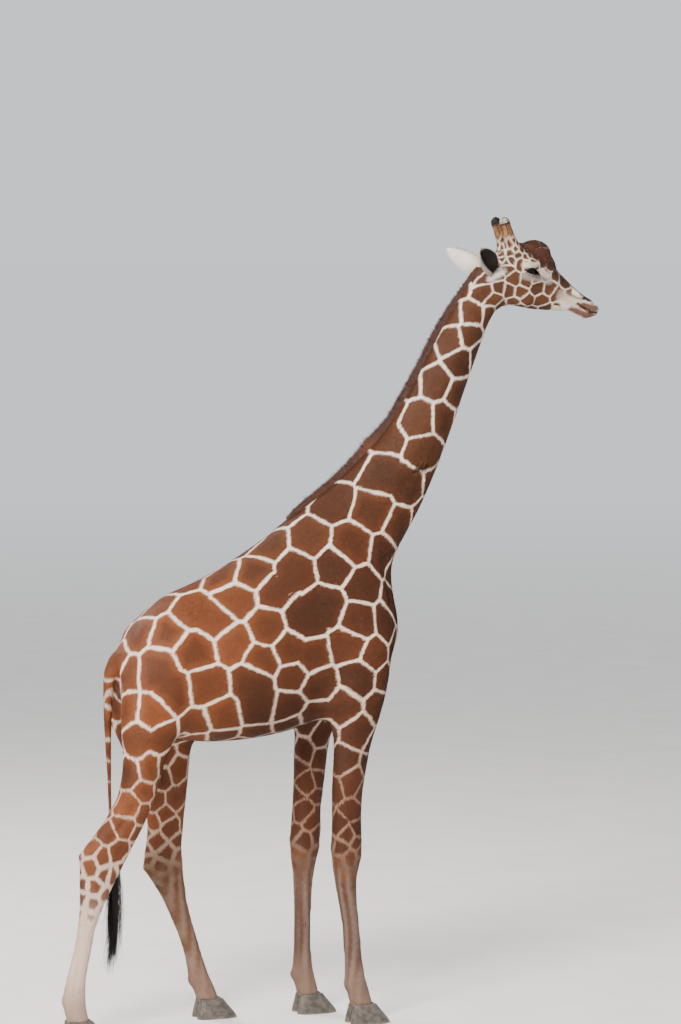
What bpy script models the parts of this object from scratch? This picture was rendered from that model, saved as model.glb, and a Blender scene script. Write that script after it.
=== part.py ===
"""Reticulated giraffe, adult male, standing: closed solids for a life-size museum model.

Metres, +Z up, heading along +X, the animal's left along +Y, soles on Z = 0.
Every long form is lofted through sections named by their two end points in the side plane.
"""
import math

import bmesh
import bpy
import numpy as np
from mathutils import Matrix, Vector

# ---- driving sizes -------------------------------------------------------------------------
GAP = 0.0004             # clearance between neighbouring solids
LEG_CUT_Z = 1.655        # height where the legs leave the trunk
KNEE_CUT_Z = 1.02        # carpal joint
HOCK_CUT_NEAR_Z = 0.98   # hock joint, right hind leg
HOCK_CUT_FAR_Z = 0.86    # hock joint, left hind leg
CORONET_Z = 0.118        # top of the hooves
HOOF_LENGTH = 0.27
HOOF_WIDTH = 0.19
CLEFT = 0.012            # space between the two claws of a hoof
EYE_RADIUS = 0.032
EYE_CENTRE = (1.737, 0.104, 4.462)
RING = 28                # points round a body section
BODY_VOXEL = 0.014
HEAD_VOXEL = 0.008

NECK_CUT = ((0.780, 3.070), (0.767, 0.642))    # point and normal, side plane
HEAD_CUT = ((1.490, 4.340), (0.908, 0.419))

COLOURS = {
    "trunk": (0.42, 0.20, 0.09), "neck": (0.30, 0.12, 0.06), "head": (0.50, 0.32, 0.20),
    "leg": (0.60, 0.45, 0.32), "hoof": (0.16, 0.12, 0.10), "mane": (0.15, 0.06, 0.03),
    "tuft": (0.02, 0.02, 0.02), "ear": (0.70, 0.60, 0.48), "ossicone": (0.30, 0.18, 0.12),
    "eye": (0.02, 0.012, 0.01), "tail": (0.55, 0.36, 0.22),
}


# ---- shared shape functions ----------------------------------------------------------------
def section(top, bottom, y, half_width, low=0.0, pinch=0.0, count=RING):
    """Egg-shaped ring: `low` drops its widest level, `pinch` narrows its upper half."""
    middle = Vector(((top[0] + bottom[0]) / 2, y, (top[1] + bottom[1]) / 2))
    reach = Vector(((top[0] - bottom[0]) / 2, 0, (top[1] - bottom[1]) / 2))
    ring = []
    for step in range(count):
        turn = 2 * math.pi * step / count
        rise = math.cos(turn)
        along = rise - low * (1 - rise * rise)
        wide = half_width * math.sin(turn) * (1 - pinch * rise)
        ring.append(middle + reach * along + Vector((0, wide, 0)))
    return ring


def loft(mesh, rings):
    """Skin a list of equal rings and close both ends."""
    rows = [[mesh.verts.new(point) for point in ring] for ring in rings]
    count = len(rows[0])
    for lower, upper in zip(rows, rows[1:]):
        for i in range(count):
            j = (i + 1) % count
            mesh.faces.new((lower[i], lower[j], upper[j], upper[i]))
    mesh.faces.new(rows[0][::-1])
    mesh.faces.new(rows[-1])


def ellipsoid(mesh, centre, radii, turn=0.0):
    """Rounded mass, pitched about Y by `turn` degrees."""
    spin = Matrix.Rotation(math.radians(turn), 4, "Y")
    place = Matrix.Translation(centre) @ spin @ Matrix.Diagonal((*radii, 1))
    bmesh.ops.create_icosphere(mesh, subdivisions=3, radius=1, matrix=place)


def outward(mesh):
    bmesh.ops.recalc_face_normals(mesh, faces=mesh.faces)


def stage(name, mesh):
    """Turn a bmesh into a linked object."""
    outward(mesh)
    data = bpy.data.meshes.new(name)
    mesh.to_mesh(data)
    mesh.free()
    thing = bpy.data.objects.new(name, data)
    bpy.context.scene.collection.objects.link(thing)
    return thing


def settle(thing):
    """Apply the modifiers of an object."""
    depsgraph = bpy.context.evaluated_depsgraph_get()
    data = bpy.data.meshes.new_from_object(thing.evaluated_get(depsgraph))
    thing.modifiers.clear()
    old = thing.data
    thing.data = data
    bpy.data.meshes.remove(old)
    return thing


def fuse(thing, voxel):
    """Merge overlapping masses into one even surface."""
    remesh = thing.modifiers.new("fuse", "REMESH")
    remesh.mode = "VOXEL"
    remesh.voxel_size = voxel
    return settle(thing)


def relax(thing, rounds):
    """Even out the surface without shrinking it."""
    data = thing.data
    count = len(data.vertices)
    place = np.empty(count * 3)
    data.vertices.foreach_get("co", place)
    place = place.reshape(-1, 3)
    edges = np.empty(len(data.edges) * 2, dtype=np.int64)
    data.edges.foreach_get("vertices", edges)
    a, b = edges.reshape(-1, 2).T
    degree = np.bincount(a, minlength=count) + np.bincount(b, minlength=count)
    for factor in (0.60, -0.61) * rounds:
        total = np.zeros_like(place)
        for axis in range(3):
            total[:, axis] = np.bincount(a, place[b, axis], count) + np.bincount(b, place[a, axis], count)
        place += factor * (total / degree[:, None] - place)
    data.vertices.foreach_set("co", place.ravel())
    data.update()
    return thing


def clone(thing, name):
    copy = thing.copy()
    copy.data = thing.data.copy()
    copy.name = name
    bpy.context.scene.collection.objects.link(copy)
    return copy


def trim(thing, point, normal):
    """Keep the side the normal points away from, capped flat."""
    mesh = bmesh.new()
    mesh.from_mesh(thing.data)
    everything = list(mesh.verts) + list(mesh.edges) + list(mesh.faces)
    bmesh.ops.bisect_plane(
        mesh, geom=everything, dist=1e-6, plane_co=point, plane_no=normal, clear_outer=True
    )
    rim = [edge for edge in mesh.edges if edge.is_boundary]
    bmesh.ops.holes_fill(mesh, edges=rim, sides=0)
    mesh.to_mesh(thing.data)
    mesh.free()
    return thing


def thin_out(thing, triangles):
    """Reduce an object to about a given number of triangles."""
    now = sum(len(face.vertices) - 2 for face in thing.data.polygons)
    fewer = thing.modifiers.new("fewer", "DECIMATE")
    fewer.ratio = min(1.0, triangles / now)
    return settle(thing)


def subtract(thing, cutter):
    """Take one solid out of another."""
    cut = thing.modifiers.new("cut", "BOOLEAN")
    cut.operation = "DIFFERENCE"
    cut.solver = "EXACT"
    cut.object = cutter
    return settle(thing)


def largest(thing):
    """Drop the crumbs a cut may leave."""
    mesh = bmesh.new()
    mesh.from_mesh(thing.data)
    bmesh.ops.triangulate(mesh, faces=mesh.faces)
    bmesh.ops.remove_doubles(mesh, verts=mesh.verts, dist=0.00002)
    bmesh.ops.dissolve_degenerate(mesh, edges=mesh.edges, dist=0.00002)
    left = set(mesh.verts)
    groups = []
    while left:
        queue = [left.pop()]
        group = list(queue)
        while queue:
            for edge in queue.pop().link_edges:
                for vert in edge.verts:
                    if vert in left:
                        left.remove(vert)
                        queue.append(vert)
                        group.append(vert)
        groups.append(group)
    groups.sort(key=len)
    for group in groups[:-1]:
        bmesh.ops.delete(mesh, geom=group, context="VERTS")
    outward(mesh)
    mesh.to_mesh(thing.data)
    mesh.free()
    return thing


def discard(*things):
    for thing in things:
        data = thing.data
        bpy.data.objects.remove(thing)
        bpy.data.meshes.remove(data)


def swell(thing, distance):
    """Grow a solid evenly, for cutting neighbours with clearance."""
    mesh = bmesh.new()
    mesh.from_mesh(thing.data)
    mesh.normal_update()
    offsets = [vert.normal * distance for vert in mesh.verts]
    for vert, offset in zip(mesh.verts, offsets):
        vert.co += offset
    mesh.to_mesh(thing.data)
    mesh.free()
    return thing


def slide(thing, offset):
    thing.data.transform(Matrix.Translation(offset))
    return thing


# ---- masses of the body --------------------------------------------------------------------
def trunk_and_neck(mesh):
    """Barrel, breast and neck: one loft from the buttocks to the throat."""
    sections = (
        ((-0.845, 2.170), (-0.800, 1.970), 0.080, 0.00, 0.0),
        ((-0.830, 2.245), (-0.760, 1.880), 0.180, 0.00, -0.05),
        ((-0.780, 2.320), (-0.680, 1.800), 0.250, 0.00, -0.05),
        ((-0.690, 2.430), (-0.600, 1.740), 0.292, -0.05, 0.0),
        ((-0.572, 2.540), (-0.480, 1.700), 0.322, -0.05, 0.0),
        ((-0.455, 2.600), (-0.360, 1.680), 0.340, 0.04, 0.1),
        ((-0.330, 2.645), (-0.220, 1.678), 0.365, 0.08, 0.1),
        ((-0.200, 2.712), (-0.040, 1.690), 0.385, 0.12, 0.1),
        ((-0.050, 2.803), (0.180, 1.718), 0.392, 0.14, 0.1),
        ((0.080, 2.885), (0.420, 1.785), 0.380, 0.12, 0.1),
        ((0.190, 2.975), (0.660, 1.880), 0.352, 0.08, 0.1),
        ((0.280, 3.042), (0.820, 2.030), 0.315, 0.05, 0.1),
        ((0.361, 3.098), (0.928, 2.300), 0.275, 0.05, 0.1),
        ((0.430, 3.148), (0.880, 2.500), 0.238, 0.05, 0.1),
        ((0.505, 3.200), (0.865, 2.690), 0.205, 0.05, 0.1),
        ((0.600, 3.285), (0.962, 2.860), 0.182, 0.05, 0.1),
        ((0.700, 3.375), (1.065, 3.035), 0.164, 0.05, 0.1),
        ((0.795, 3.472), (1.145, 3.212), 0.148, 0.05, 0.1),
        ((0.885, 3.583), (1.220, 3.393), 0.134, 0.05, 0.1),
        ((0.990, 3.758), (1.300, 3.598), 0.121, 0.05, 0.1),
        ((1.069, 3.892), (1.355, 3.752), 0.113, 0.05, 0.1),
        ((1.171, 4.088), (1.430, 3.950), 0.105, 0.05, 0.1),
        ((1.255, 4.225), (1.488, 4.098), 0.099, 0.05, 0.1),
        ((1.345, 4.360), (1.530, 4.190), 0.096, 0.05, 0.1),
        ((1.430, 4.480), (1.552, 4.216), 0.098, 0.05, 0.1),
        ((1.500, 4.538), (1.590, 4.240), 0.104, 0.05, 0.1),
    )
    rings = [section(a, b, 0, wide, low, pinch) for a, b, wide, low, pinch in sections]
    loft(mesh, rings)
    ellipsoid(mesh, (-0.09, 0, 1.715), (0.085, 0.045, 0.040), 10)


def fore_leg(mesh, side, foot_y, line):
    """Shoulder, forearm, knee, cannon and pastern; `line` gives the axis as (height, x)."""
    sizes = (
        (2.620, 0.26, 0.060), (2.480, 0.40, 0.105), (2.300, 0.49, 0.132), (2.100, 0.47, 0.138),
        (1.940, 0.40, 0.128), (1.820, 0.335, 0.112), (1.640, 0.248, 0.090), (1.400, 0.200, 0.076),
        (1.250, 0.190, 0.074), (1.140, 0.190, 0.078), (1.030, 0.192, 0.079), (0.950, 0.178, 0.070),
        (0.860, 0.146, 0.057), (0.720, 0.124, 0.048), (0.580, 0.118, 0.045), (0.400, 0.120, 0.045),
        (0.290, 0.136, 0.053), (0.215, 0.152, 0.061), (0.150, 0.142, 0.060), (0.100, 0.150, 0.064),
    )
    heights = [z for z, _ in line][::-1]
    places = [x for _, x in line][::-1]
    rings = []
    for z, depth, half in sizes:
        x = float(np.interp(z, heights, places))
        y = float(np.interp(z, (0.0, 1.6, 2.1, 2.62), (foot_y, foot_y, side * 0.225, side * 0.215)))
        rings.append(section((x + depth / 2, z), (x - depth / 2, z), y, half, 0.08))
    loft(mesh, rings)


def hind_leg(mesh, side, foot_y, pairs):
    """Thigh, gaskin, hock, cannon and pastern; each pair holds a front and a rear point."""
    halves = (
        0.070, 0.128, 0.140, 0.124, 0.106, 0.090, 0.075, 0.064, 0.058, 0.060, 0.063,
        0.057, 0.048, 0.044, 0.043, 0.045, 0.052, 0.059, 0.057, 0.062,
    )
    rings = []
    for (front, rear), half in zip(pairs, halves):
        z = (front[1] + rear[1]) / 2
        y = float(np.interp(z, (0.0, 1.5, 2.0, 2.4), (foot_y, foot_y, side * 0.205, side * 0.15)))
        rings.append(section(front, rear, y, half, 0.0))
    loft(mesh, rings)


def head_masses(mesh):
    """Skull and muzzle loft with brow, cheek, lip and bump masses."""
    sections = (
        ((1.345, 4.360), (1.530, 4.190), 0.096, 0.05, 0.10),
        ((1.430, 4.480), (1.552, 4.216), 0.098, 0.05, 0.10),
        ((1.500, 4.538), (1.590, 4.240), 0.104, 0.05, 0.10),
        ((1.560, 4.580), (1.640, 4.248), 0.110, -0.05, 0.00),
        ((1.620, 4.602), (1.695, 4.240), 0.117, -0.15, -0.05),
        ((1.690, 4.608), (1.750, 4.228), 0.122, -0.20, -0.10),
        ((1.750, 4.600), (1.800, 4.222), 0.117, -0.20, -0.05),
        ((1.805, 4.580), (1.850, 4.218), 0.103, -0.12, 0.00),
        ((1.855, 4.580), (1.900, 4.216), 0.090, -0.05, 0.05),
        ((1.902, 4.536), (1.945, 4.214), 0.080, 0.00, 0.10),
        ((1.945, 4.472), (1.985, 4.212), 0.073, 0.00, 0.12),
        ((1.990, 4.428), (2.030, 4.208), 0.068, 0.00, 0.12),
        ((2.035, 4.386), (2.072, 4.186), 0.066, 0.00, 0.10),
        ((2.080, 4.346), (2.112, 4.168), 0.068, 0.00, 0.05),
        ((2.125, 4.314), (2.150, 4.168), 0.067, 0.00, 0.00),
        ((2.168, 4.286), (2.185, 4.176), 0.060, 0.00, 0.00),
        ((2.200, 4.262), (2.210, 4.188), 0.046, 0.00, 0.00),
        ((2.220, 4.242), (2.224, 4.204), 0.026, 0.00, 0.00),
    )
    rings = [section(a, b, 0, wide, low, pinch) for a, b, wide, low, pinch in sections]
    loft(mesh, rings)
    ellipsoid(mesh, (1.798, 0, 4.560), (0.116, 0.056, 0.091), 0)
    ellipsoid(mesh, (1.700, 0, 4.586), (0.078, 0.052, 0.048), 0)
    ellipsoid(mesh, (1.895, 0, 4.510), (0.085, 0.040, 0.040), 60)
    ellipsoid(mesh, (2.125, 0, 4.196), (0.052, 0.046, 0.035), 0)
    for side in (-1, 1):
        ellipsoid(mesh, (1.650, side * 0.058, 4.566), (0.084, 0.052, 0.048), 0)
        ellipsoid(mesh, (1.733, side * 0.090, 4.500), (0.085, 0.042, 0.036), 5)
        ellipsoid(mesh, (1.728, side * 0.082, 4.424), (0.085, 0.038, 0.036), 0)
        ellipsoid(mesh, (1.690, side * 0.058, 4.330), (0.110, 0.046, 0.090), 20)
        ellipsoid(mesh, (2.130, side * 0.046, 4.268), (0.050, 0.025, 0.032), 30)


# ---- smaller pieces ------------------------------------------------------------------------
def mane_mesh(points, half_width):
    """Upright crest along the neck; each point is (x, z, height) on the skin line."""
    mesh = bmesh.new()
    rings = []
    for i, (x, z, height) in enumerate(points):
        before = points[max(i - 1, 0)]
        after = points[min(i + 1, len(points) - 1)]
        run = Vector((after[0] - before[0], after[1] - before[1])).normalized()
        up = Vector((-run.y, run.x))
        if up.y < 0:
            up.negate()
        top = (x + up.x * height, z + up.y * height)
        foot = (x - up.x * 0.030, z - up.y * 0.030)
        rings.append(section(top, foot, 0, half_width, 0.15, 0.25, 10))
    loft(mesh, rings)
    return mesh


def ear_mesh(side):
    """Cupped leaf-shaped ear pointing out, back and up."""
    root = Vector((1.500, side * 0.088, 4.468))
    tip = Vector((1.345, side * 0.272, 4.592))
    axis = tip - root
    span = axis.length
    axis.normalize()
    face = Vector((0.10, side * 0.95, -0.10))
    face = (face - axis * face.dot(axis)).normalized()
    across = axis.cross(face)
    shape = ((0.0, 0.036, 0.014), (0.12, 0.050, 0.012), (0.3, 0.061, 0.009), (0.5, 0.060, 0.008),
             (0.7, 0.048, 0.006), (0.87, 0.028, 0.005), (0.97, 0.012, 0.004), (1.0, 0.005, 0.003))
    mesh = bmesh.new()
    rings = []
    steps = 7
    for t, half, thick in shape:
        cup = 0.55 * half
        centre = root + axis * (t * span)
        back = []
        front = []
        for i in range(steps):
            s = -1 + 2 * i / (steps - 1)
            lift = cup * s * s - cup * 0.5
            base = centre + across * (half * s) + face * lift
            rim = thick * math.sqrt(max(0.0, 1 - s * s)) + 0.0012
            back.append(base - face * rim)
            front.append(base + face * rim)
        rings.append(back + front[::-1])
    loft(mesh, rings)
    return mesh


def ossicone_mesh(side):
    """Blunt horn, a little waisted, with a knobbed bald top."""
    base = Vector((1.652, side * 0.060, 4.555))
    top = Vector((1.573, side * 0.072, 4.775))
    axis = (top - base).normalized()
    u = axis.cross(Vector((0, 1, 0))).normalized()
    v = axis.cross(u)
    profile = ((-0.10, 0.068), (0.15, 0.058), (0.42, 0.043), (0.70, 0.037), (0.88, 0.038),
               (0.98, 0.031), (1.04, 0.011))
    mesh = bmesh.new()
    rings = []
    for t, radius in profile:
        centre = base.lerp(top, t)
        ring = []
        for i in range(12):
            turn = 2 * math.pi * i / 12
            ring.append(centre + u * (radius * math.cos(turn)) + v * (radius * 0.88 * math.sin(turn)))
        rings.append(ring)
    loft(mesh, rings)
    return mesh


def strand_mesh(points, count):
    """Round hanging form through (x, z, radius) points."""
    mesh = bmesh.new()
    rings = []
    for x, z, radius in points:
        ring = []
        for i in range(count):
            turn = 2 * math.pi * i / count
            ring.append(Vector((x + radius * math.cos(turn), radius * math.sin(turn), z)))
        rings.append(ring)
    loft(mesh, rings)
    return mesh


def claw_mesh(x, y, half_side):
    """One claw of a cloven hoof; half_side is -1 or +1 from the cleft."""
    levels = ((CORONET_Z - GAP, 0.325, 0.235, 0.35), (0.085, 0.340, 0.320, 0.405),
              (0.025, 0.395, 0.520, 0.490), (0.0, 0.400, 0.560, 0.50))
    mesh = bmesh.new()
    rings = []
    for z, heel, toe, outer in levels:
        ring = []
        middle = (toe - heel) / 2 * HOOF_LENGTH
        reach = (toe + heel) / 2 * HOOF_LENGTH
        width = outer * HOOF_WIDTH - CLEFT / 2
        for i in range(12):
            turn = 2 * math.pi * i / 12
            c = math.cos(turn)
            s = math.sin(turn)
            px = middle + reach * math.copysign(abs(c) ** 0.85, c)
            inner = 0.5 - 0.5 * math.copysign(abs(s) ** 0.6, -s)
            taper = 1 - 0.30 * max(0.0, c) ** 3
            py = CLEFT / 2 + width * inner * taper
            ring.append(Vector((x + px, y + half_side * py, z)))
        rings.append(ring)
    loft(mesh, rings)
    return mesh


# ---- assembly ------------------------------------------------------------------------------
for old in list(bpy.data.objects):
    bpy.data.objects.remove(old)

NEAR_Y = -0.255
FAR_Y = 0.185
HIND_NEAR_Y = -0.245
HIND_FAR_Y = 0.215

NEAR_FORE_LINE = (
    (2.62, 0.500), (2.30, 0.560), (2.10, 0.580), (1.94, 0.580), (1.82, 0.573), (1.64, 0.552),
    (1.40, 0.520), (1.25, 0.515), (1.03, 0.514), (0.86, 0.508), (0.72, 0.523), (0.58, 0.543),
    (0.40, 0.556), (0.29, 0.565), (0.215, 0.578), (0.15, 0.602), (0.10, 0.625),
)
FAR_FORE_LINE = (
    (2.62, 0.500), (2.30, 0.550), (2.10, 0.555), (1.94, 0.530), (1.82, 0.495), (1.64, 0.448),
    (1.40, 0.430), (1.25, 0.415), (1.03, 0.402), (0.86, 0.394), (0.72, 0.389), (0.58, 0.389),
    (0.40, 0.386), (0.29, 0.387), (0.215, 0.392), (0.15, 0.416), (0.10, 0.440),
)
NEAR_HIND_PAIRS = (
    ((-0.320, 2.330), (-0.600, 2.340)), ((-0.270, 2.110), (-0.815, 2.150)),
    ((-0.340, 1.930), (-0.880, 1.970)), ((-0.470, 1.790), (-0.882, 1.815)),
    ((-0.575, 1.650), (-0.862, 1.665)), ((-0.628, 1.500), (-0.872, 1.530)),
    ((-0.680, 1.350), (-0.900, 1.405)), ((-0.732, 1.225), (-0.972, 1.290)),
    ((-0.785, 1.130), (-1.050, 1.190)), ((-0.830, 1.040), (-1.122, 1.105)),
    ((-0.875, 0.965), (-1.132, 1.010)), ((-0.930, 0.860), (-1.129, 0.900)),
    ((-0.978, 0.762), (-1.131, 0.780)), ((-1.020, 0.655), (-1.143, 0.660)),
    ((-1.049, 0.510), (-1.169, 0.515)), ((-1.072, 0.405), (-1.197, 0.412)),
    ((-1.085, 0.310), (-1.222, 0.312)), ((-1.085, 0.218), (-1.235, 0.215)),
    ((-1.070, 0.150), (-1.215, 0.150)), ((-1.050, 0.100), (-1.200, 0.100)),
)
FAR_HIND_PAIRS = (
    ((-0.300, 2.330), (-0.600, 2.340)), ((-0.220, 2.090), (-0.815, 2.140)),
    ((-0.225, 1.900), (-0.872, 1.960)), ((-0.255, 1.740), (-0.830, 1.800)),
    ((-0.290, 1.600), (-0.745, 1.640)), ((-0.315, 1.450), (-0.650, 1.450)),
    ((-0.330, 1.310), (-0.590, 1.280)), ((-0.345, 1.180), (-0.580, 1.140)),
    ((-0.353, 1.060), (-0.598, 1.030)), ((-0.352, 0.980), (-0.608, 0.945)),
    ((-0.347, 0.905), (-0.598, 0.895)), ((-0.340, 0.840), (-0.552, 0.830)),
    ((-0.325, 0.720), (-0.490, 0.728)), ((-0.295, 0.600), (-0.437, 0.610)),
    ((-0.263, 0.495), (-0.390, 0.500)), ((-0.236, 0.397), (-0.357, 0.402)),
    ((-0.205, 0.300), (-0.335, 0.302)), ((-0.172, 0.218), (-0.320, 0.214)),
    ((-0.140, 0.150), (-0.285, 0.150)), ((-0.112, 0.100), (-0.262, 0.100)),
)

# One fused body, from which trunk, neck and legs are parted.
masses = bmesh.new()
trunk_and_neck(masses)
fore_leg(masses, -1, NEAR_Y, NEAR_FORE_LINE)
fore_leg(masses, 1, FAR_Y, FAR_FORE_LINE)
hind_leg(masses, -1, HIND_NEAR_Y, NEAR_HIND_PAIRS)
hind_leg(masses, 1, HIND_FAR_Y, FAR_HIND_PAIRS)
body = relax(fuse(stage("body_masses", masses), BODY_VOXEL), 70)

masses = bmesh.new()
head_masses(masses)
skull = relax(fuse(stage("head_masses", masses), HEAD_VOXEL), 60)


def plane(cut, shift):
    """A cutting plane of the side view as a 3-D point and normal, moved by `shift`."""
    (x, z), (nx, nz) = cut
    return (x + nx * shift, 0, z + nz * shift), (nx, 0, nz)


def part_off(source, name, triangles, sides):
    """Cut a piece with a margin, reduce it, then trim it to its true planes."""
    piece = clone(source, name)
    for point, normal in sides:
        trim(piece, Vector(point) + Vector(normal) * 0.05, normal)
    thin_out(piece, triangles)
    whole = clone(piece, name + "_whole")
    for point, normal in sides:
        trim(piece, point, normal)
    return largest(piece), swell(largest(whole), 1.5 * GAP)


DOWN = (0, 0, -1)
UP = (0, 0, 1)
nodes = {}
nodes["trunk"], trunk_whole = part_off(body, "trunk", 1500, (
    plane(NECK_CUT, -GAP / 2), ((0, 0, LEG_CUT_Z + GAP / 2), DOWN)))
point, normal = plane(NECK_CUT, GAP / 2)
nodes["neck"], neck_whole = part_off(body, "neck", 640, (
    (point, tuple(-n for n in normal)), plane(HEAD_CUT, -GAP / 2)))
point, normal = plane(HEAD_CUT, GAP / 2)
nodes["head"], head_whole = part_off(skull, "head", 1550, ((point, tuple(-n for n in normal)),))

LEGS = (
    ("fore_right", -1, 1, KNEE_CUT_Z), ("fore_left", 1, 1, KNEE_CUT_Z),
    ("hind_right", -1, -1, HOCK_CUT_NEAR_Z), ("hind_left", 1, -1, HOCK_CUT_FAR_Z),
)
wholes = [trunk_whole, neck_whole, head_whole]
for name, side, end, joint_z in LEGS:
    quarter = (((0.1, 0, 0), (-end, 0, 0)), ((0, side * 0.02, 0), (0, -side, 0)))
    upper, whole = part_off(body, name + "_upper", 250, quarter + (
        ((0, 0, LEG_CUT_Z - GAP / 2), UP), ((0, 0, joint_z + GAP / 2), DOWN)))
    wholes.append(whole)
    lower, whole = part_off(body, name + "_lower", 300, quarter + (
        ((0, 0, joint_z - GAP / 2), UP), ((0, 0, CORONET_Z + GAP / 2), DOWN)))
    wholes.append(whole)
    nodes[name + "_upper"] = upper
    nodes[name + "_lower"] = lower

# Hooves: two claws on every foot, flat soles.
FEET = (
    ("fore_right", 0.628, NEAR_Y), ("fore_left", 0.443, FAR_Y),
    ("hind_right", -1.118, HIND_NEAR_Y), ("hind_left", -0.178, HIND_FAR_Y),
)
for name, x, y in FEET:
    for label, half_side in (("outer", math.copysign(1, y)), ("inner", -math.copysign(1, y))):
        title = "hoof_" + name + "_" + label
        nodes[title] = largest(stage(title, claw_mesh(x, y, half_side)))

# Mane in two lengths.
UPPER_MANE = ((1.432, 4.484, 0.006), (1.400, 4.430, 0.022), (1.345, 4.352, 0.026), (1.255, 4.225, 0.034),
              (1.171, 4.088, 0.038), (1.069, 3.892, 0.040), (0.990, 3.758, 0.040), (0.885, 3.583, 0.040))
LOWER_MANE = ((0.880, 3.576, 0.040), (0.795, 3.472, 0.052), (0.745, 3.420, 0.055), (0.700, 3.375, 0.046),
              (0.600, 3.285, 0.038), (0.505, 3.200, 0.036), (0.361, 3.098, 0.032), (0.280, 3.042, 0.022),
              (0.225, 3.000, 0.006))
for name, points in (("mane_upper", UPPER_MANE), ("mane_lower", LOWER_MANE)):
    crest = stage(name, mane_mesh(points, 0.024))
    for solid in (trunk_whole, neck_whole, head_whole):
        subtract(crest, solid)
    nodes[name] = largest(crest)

# Tail and its long switch.
TAIL = ((-0.745, 2.280, 0.040), (-0.822, 2.215, 0.050), (-0.852, 2.145, 0.046), (-0.868, 2.080, 0.040),
        (-0.876, 1.980, 0.033), (-0.879, 1.850, 0.027), (-0.877, 1.700, 0.021), (-0.871, 1.500, 0.015),
        (-0.867, 1.300, 0.013), (-0.850, 1.180, 0.012))
tail = stage("tail", strand_mesh(TAIL, 10))
subtract(tail, trunk_whole)
nodes["tail"] = largest(tail)
TUFT = ((-0.850, 1.180 - GAP, 0.013), (-0.846, 1.100, 0.024), (-0.842, 0.980, 0.036), (-0.842, 0.820, 0.046),
        (-0.846, 0.660, 0.046), (-0.854, 0.500, 0.036), (-0.858, 0.360, 0.022), (-0.860, 0.260, 0.008))
nodes["tail_tuft"] = largest(stage("tail_tuft", strand_mesh(TUFT, 10)))

# Ears, ossicones and eyes.
for side, hand in ((-1, "right"), (1, "left")):
    ear = stage("ear_" + hand, ear_mesh(side))
    subtract(ear, head_whole)
    subtract(ear, neck_whole)
    nodes["ear_" + hand] = largest(ear)
    horn = stage("ossicone_" + hand, ossicone_mesh(side))
    subtract(horn, head_whole)
    nodes["ossicone_" + hand] = largest(horn)
    centre = (EYE_CENTRE[0], side * EYE_CENTRE[1], EYE_CENTRE[2])
    ball = bmesh.new()
    bmesh.ops.create_icosphere(ball, subdivisions=2, radius=EYE_RADIUS, matrix=Matrix.Translation(centre))
    nodes["eye_" + hand] = stage("eye_" + hand, ball)
    ball = bmesh.new()
    bmesh.ops.create_icosphere(
        ball, subdivisions=2, radius=EYE_RADIUS + 2 * GAP, matrix=Matrix.Translation(centre)
    )
    socket = stage("socket_" + hand, ball)
    subtract(nodes["head"], socket)
    discard(socket)
largest(nodes["head"])
discard(body, skull, *wholes)

# Origin under the middle of the bounding box.
corners = np.array([vert.co for node in nodes.values() for vert in node.data.vertices])
low = corners.min(axis=0)
high = corners.max(axis=0)
shift = Vector((-(low[0] + high[0]) / 2, -(low[1] + high[1]) / 2, -low[2]))
for name, node in nodes.items():
    slide(node, shift)
    node.name = name
    node.data.name = name
    colour = COLOURS.get(name.split("_")[0], COLOURS["leg"])
    if name == "tail_tuft":
        colour = COLOURS["tuft"]
    material = bpy.data.materials.new(name)
    material.use_nodes = True
    shader = material.node_tree.nodes["Principled BSDF"]
    shader.inputs["Base Color"].default_value = (*colour, 1)
    shader.inputs["Roughness"].default_value = 0.3 if name.startswith("eye") else 0.8
    node.data.materials.clear()
    node.data.materials.append(material)
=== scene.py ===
"""Reticulated giraffe, adult male: the dressed, life-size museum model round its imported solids."""

import bmesh
import bpy
import numpy as np
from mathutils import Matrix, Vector, bvhtree, kdtree


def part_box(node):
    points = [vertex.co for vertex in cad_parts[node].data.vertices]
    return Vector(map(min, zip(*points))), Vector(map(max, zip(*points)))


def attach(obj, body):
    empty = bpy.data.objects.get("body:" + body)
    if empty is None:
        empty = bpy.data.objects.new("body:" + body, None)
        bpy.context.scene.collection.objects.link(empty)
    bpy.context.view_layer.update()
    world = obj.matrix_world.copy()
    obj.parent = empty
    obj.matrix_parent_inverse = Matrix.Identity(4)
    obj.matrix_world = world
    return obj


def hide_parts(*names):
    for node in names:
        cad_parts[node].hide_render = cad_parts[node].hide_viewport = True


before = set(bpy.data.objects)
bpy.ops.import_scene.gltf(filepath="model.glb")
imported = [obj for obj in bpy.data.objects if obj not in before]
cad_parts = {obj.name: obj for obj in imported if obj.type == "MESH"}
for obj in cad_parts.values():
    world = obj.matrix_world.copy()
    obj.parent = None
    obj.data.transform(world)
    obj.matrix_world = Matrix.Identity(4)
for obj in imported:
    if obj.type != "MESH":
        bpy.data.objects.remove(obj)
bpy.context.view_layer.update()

scene = bpy.context.scene

# ---- Flesh under the hide ------------------------------------------------------------------
# The mannequin's body: trunk, neck, head, legs, tail and horn cores are one carved form.
# The solids are fused into one even surface, with a finer one kept for the head.
COAT_DEPTH = 0.005
FINE_VOXEL = 0.0065
BROAD_VOXEL = 0.016
LEGS = ("fore_right", "fore_left", "hind_right", "hind_left")
LEG_NODES = [leg + half for leg in LEGS for half in ("_upper", "_lower")]
BODY_NODES = ["trunk", "neck", "head"] + LEG_NODES
TRIM_NODES = ["tail", "ossicone_right", "ossicone_left"]
EYE_NODES = ["eye_right", "eye_left"]
ANKLE_Z = 0.125
ANKLE_DROP = 0.035
HIDE_TRIANGLES = 132_000


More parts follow.
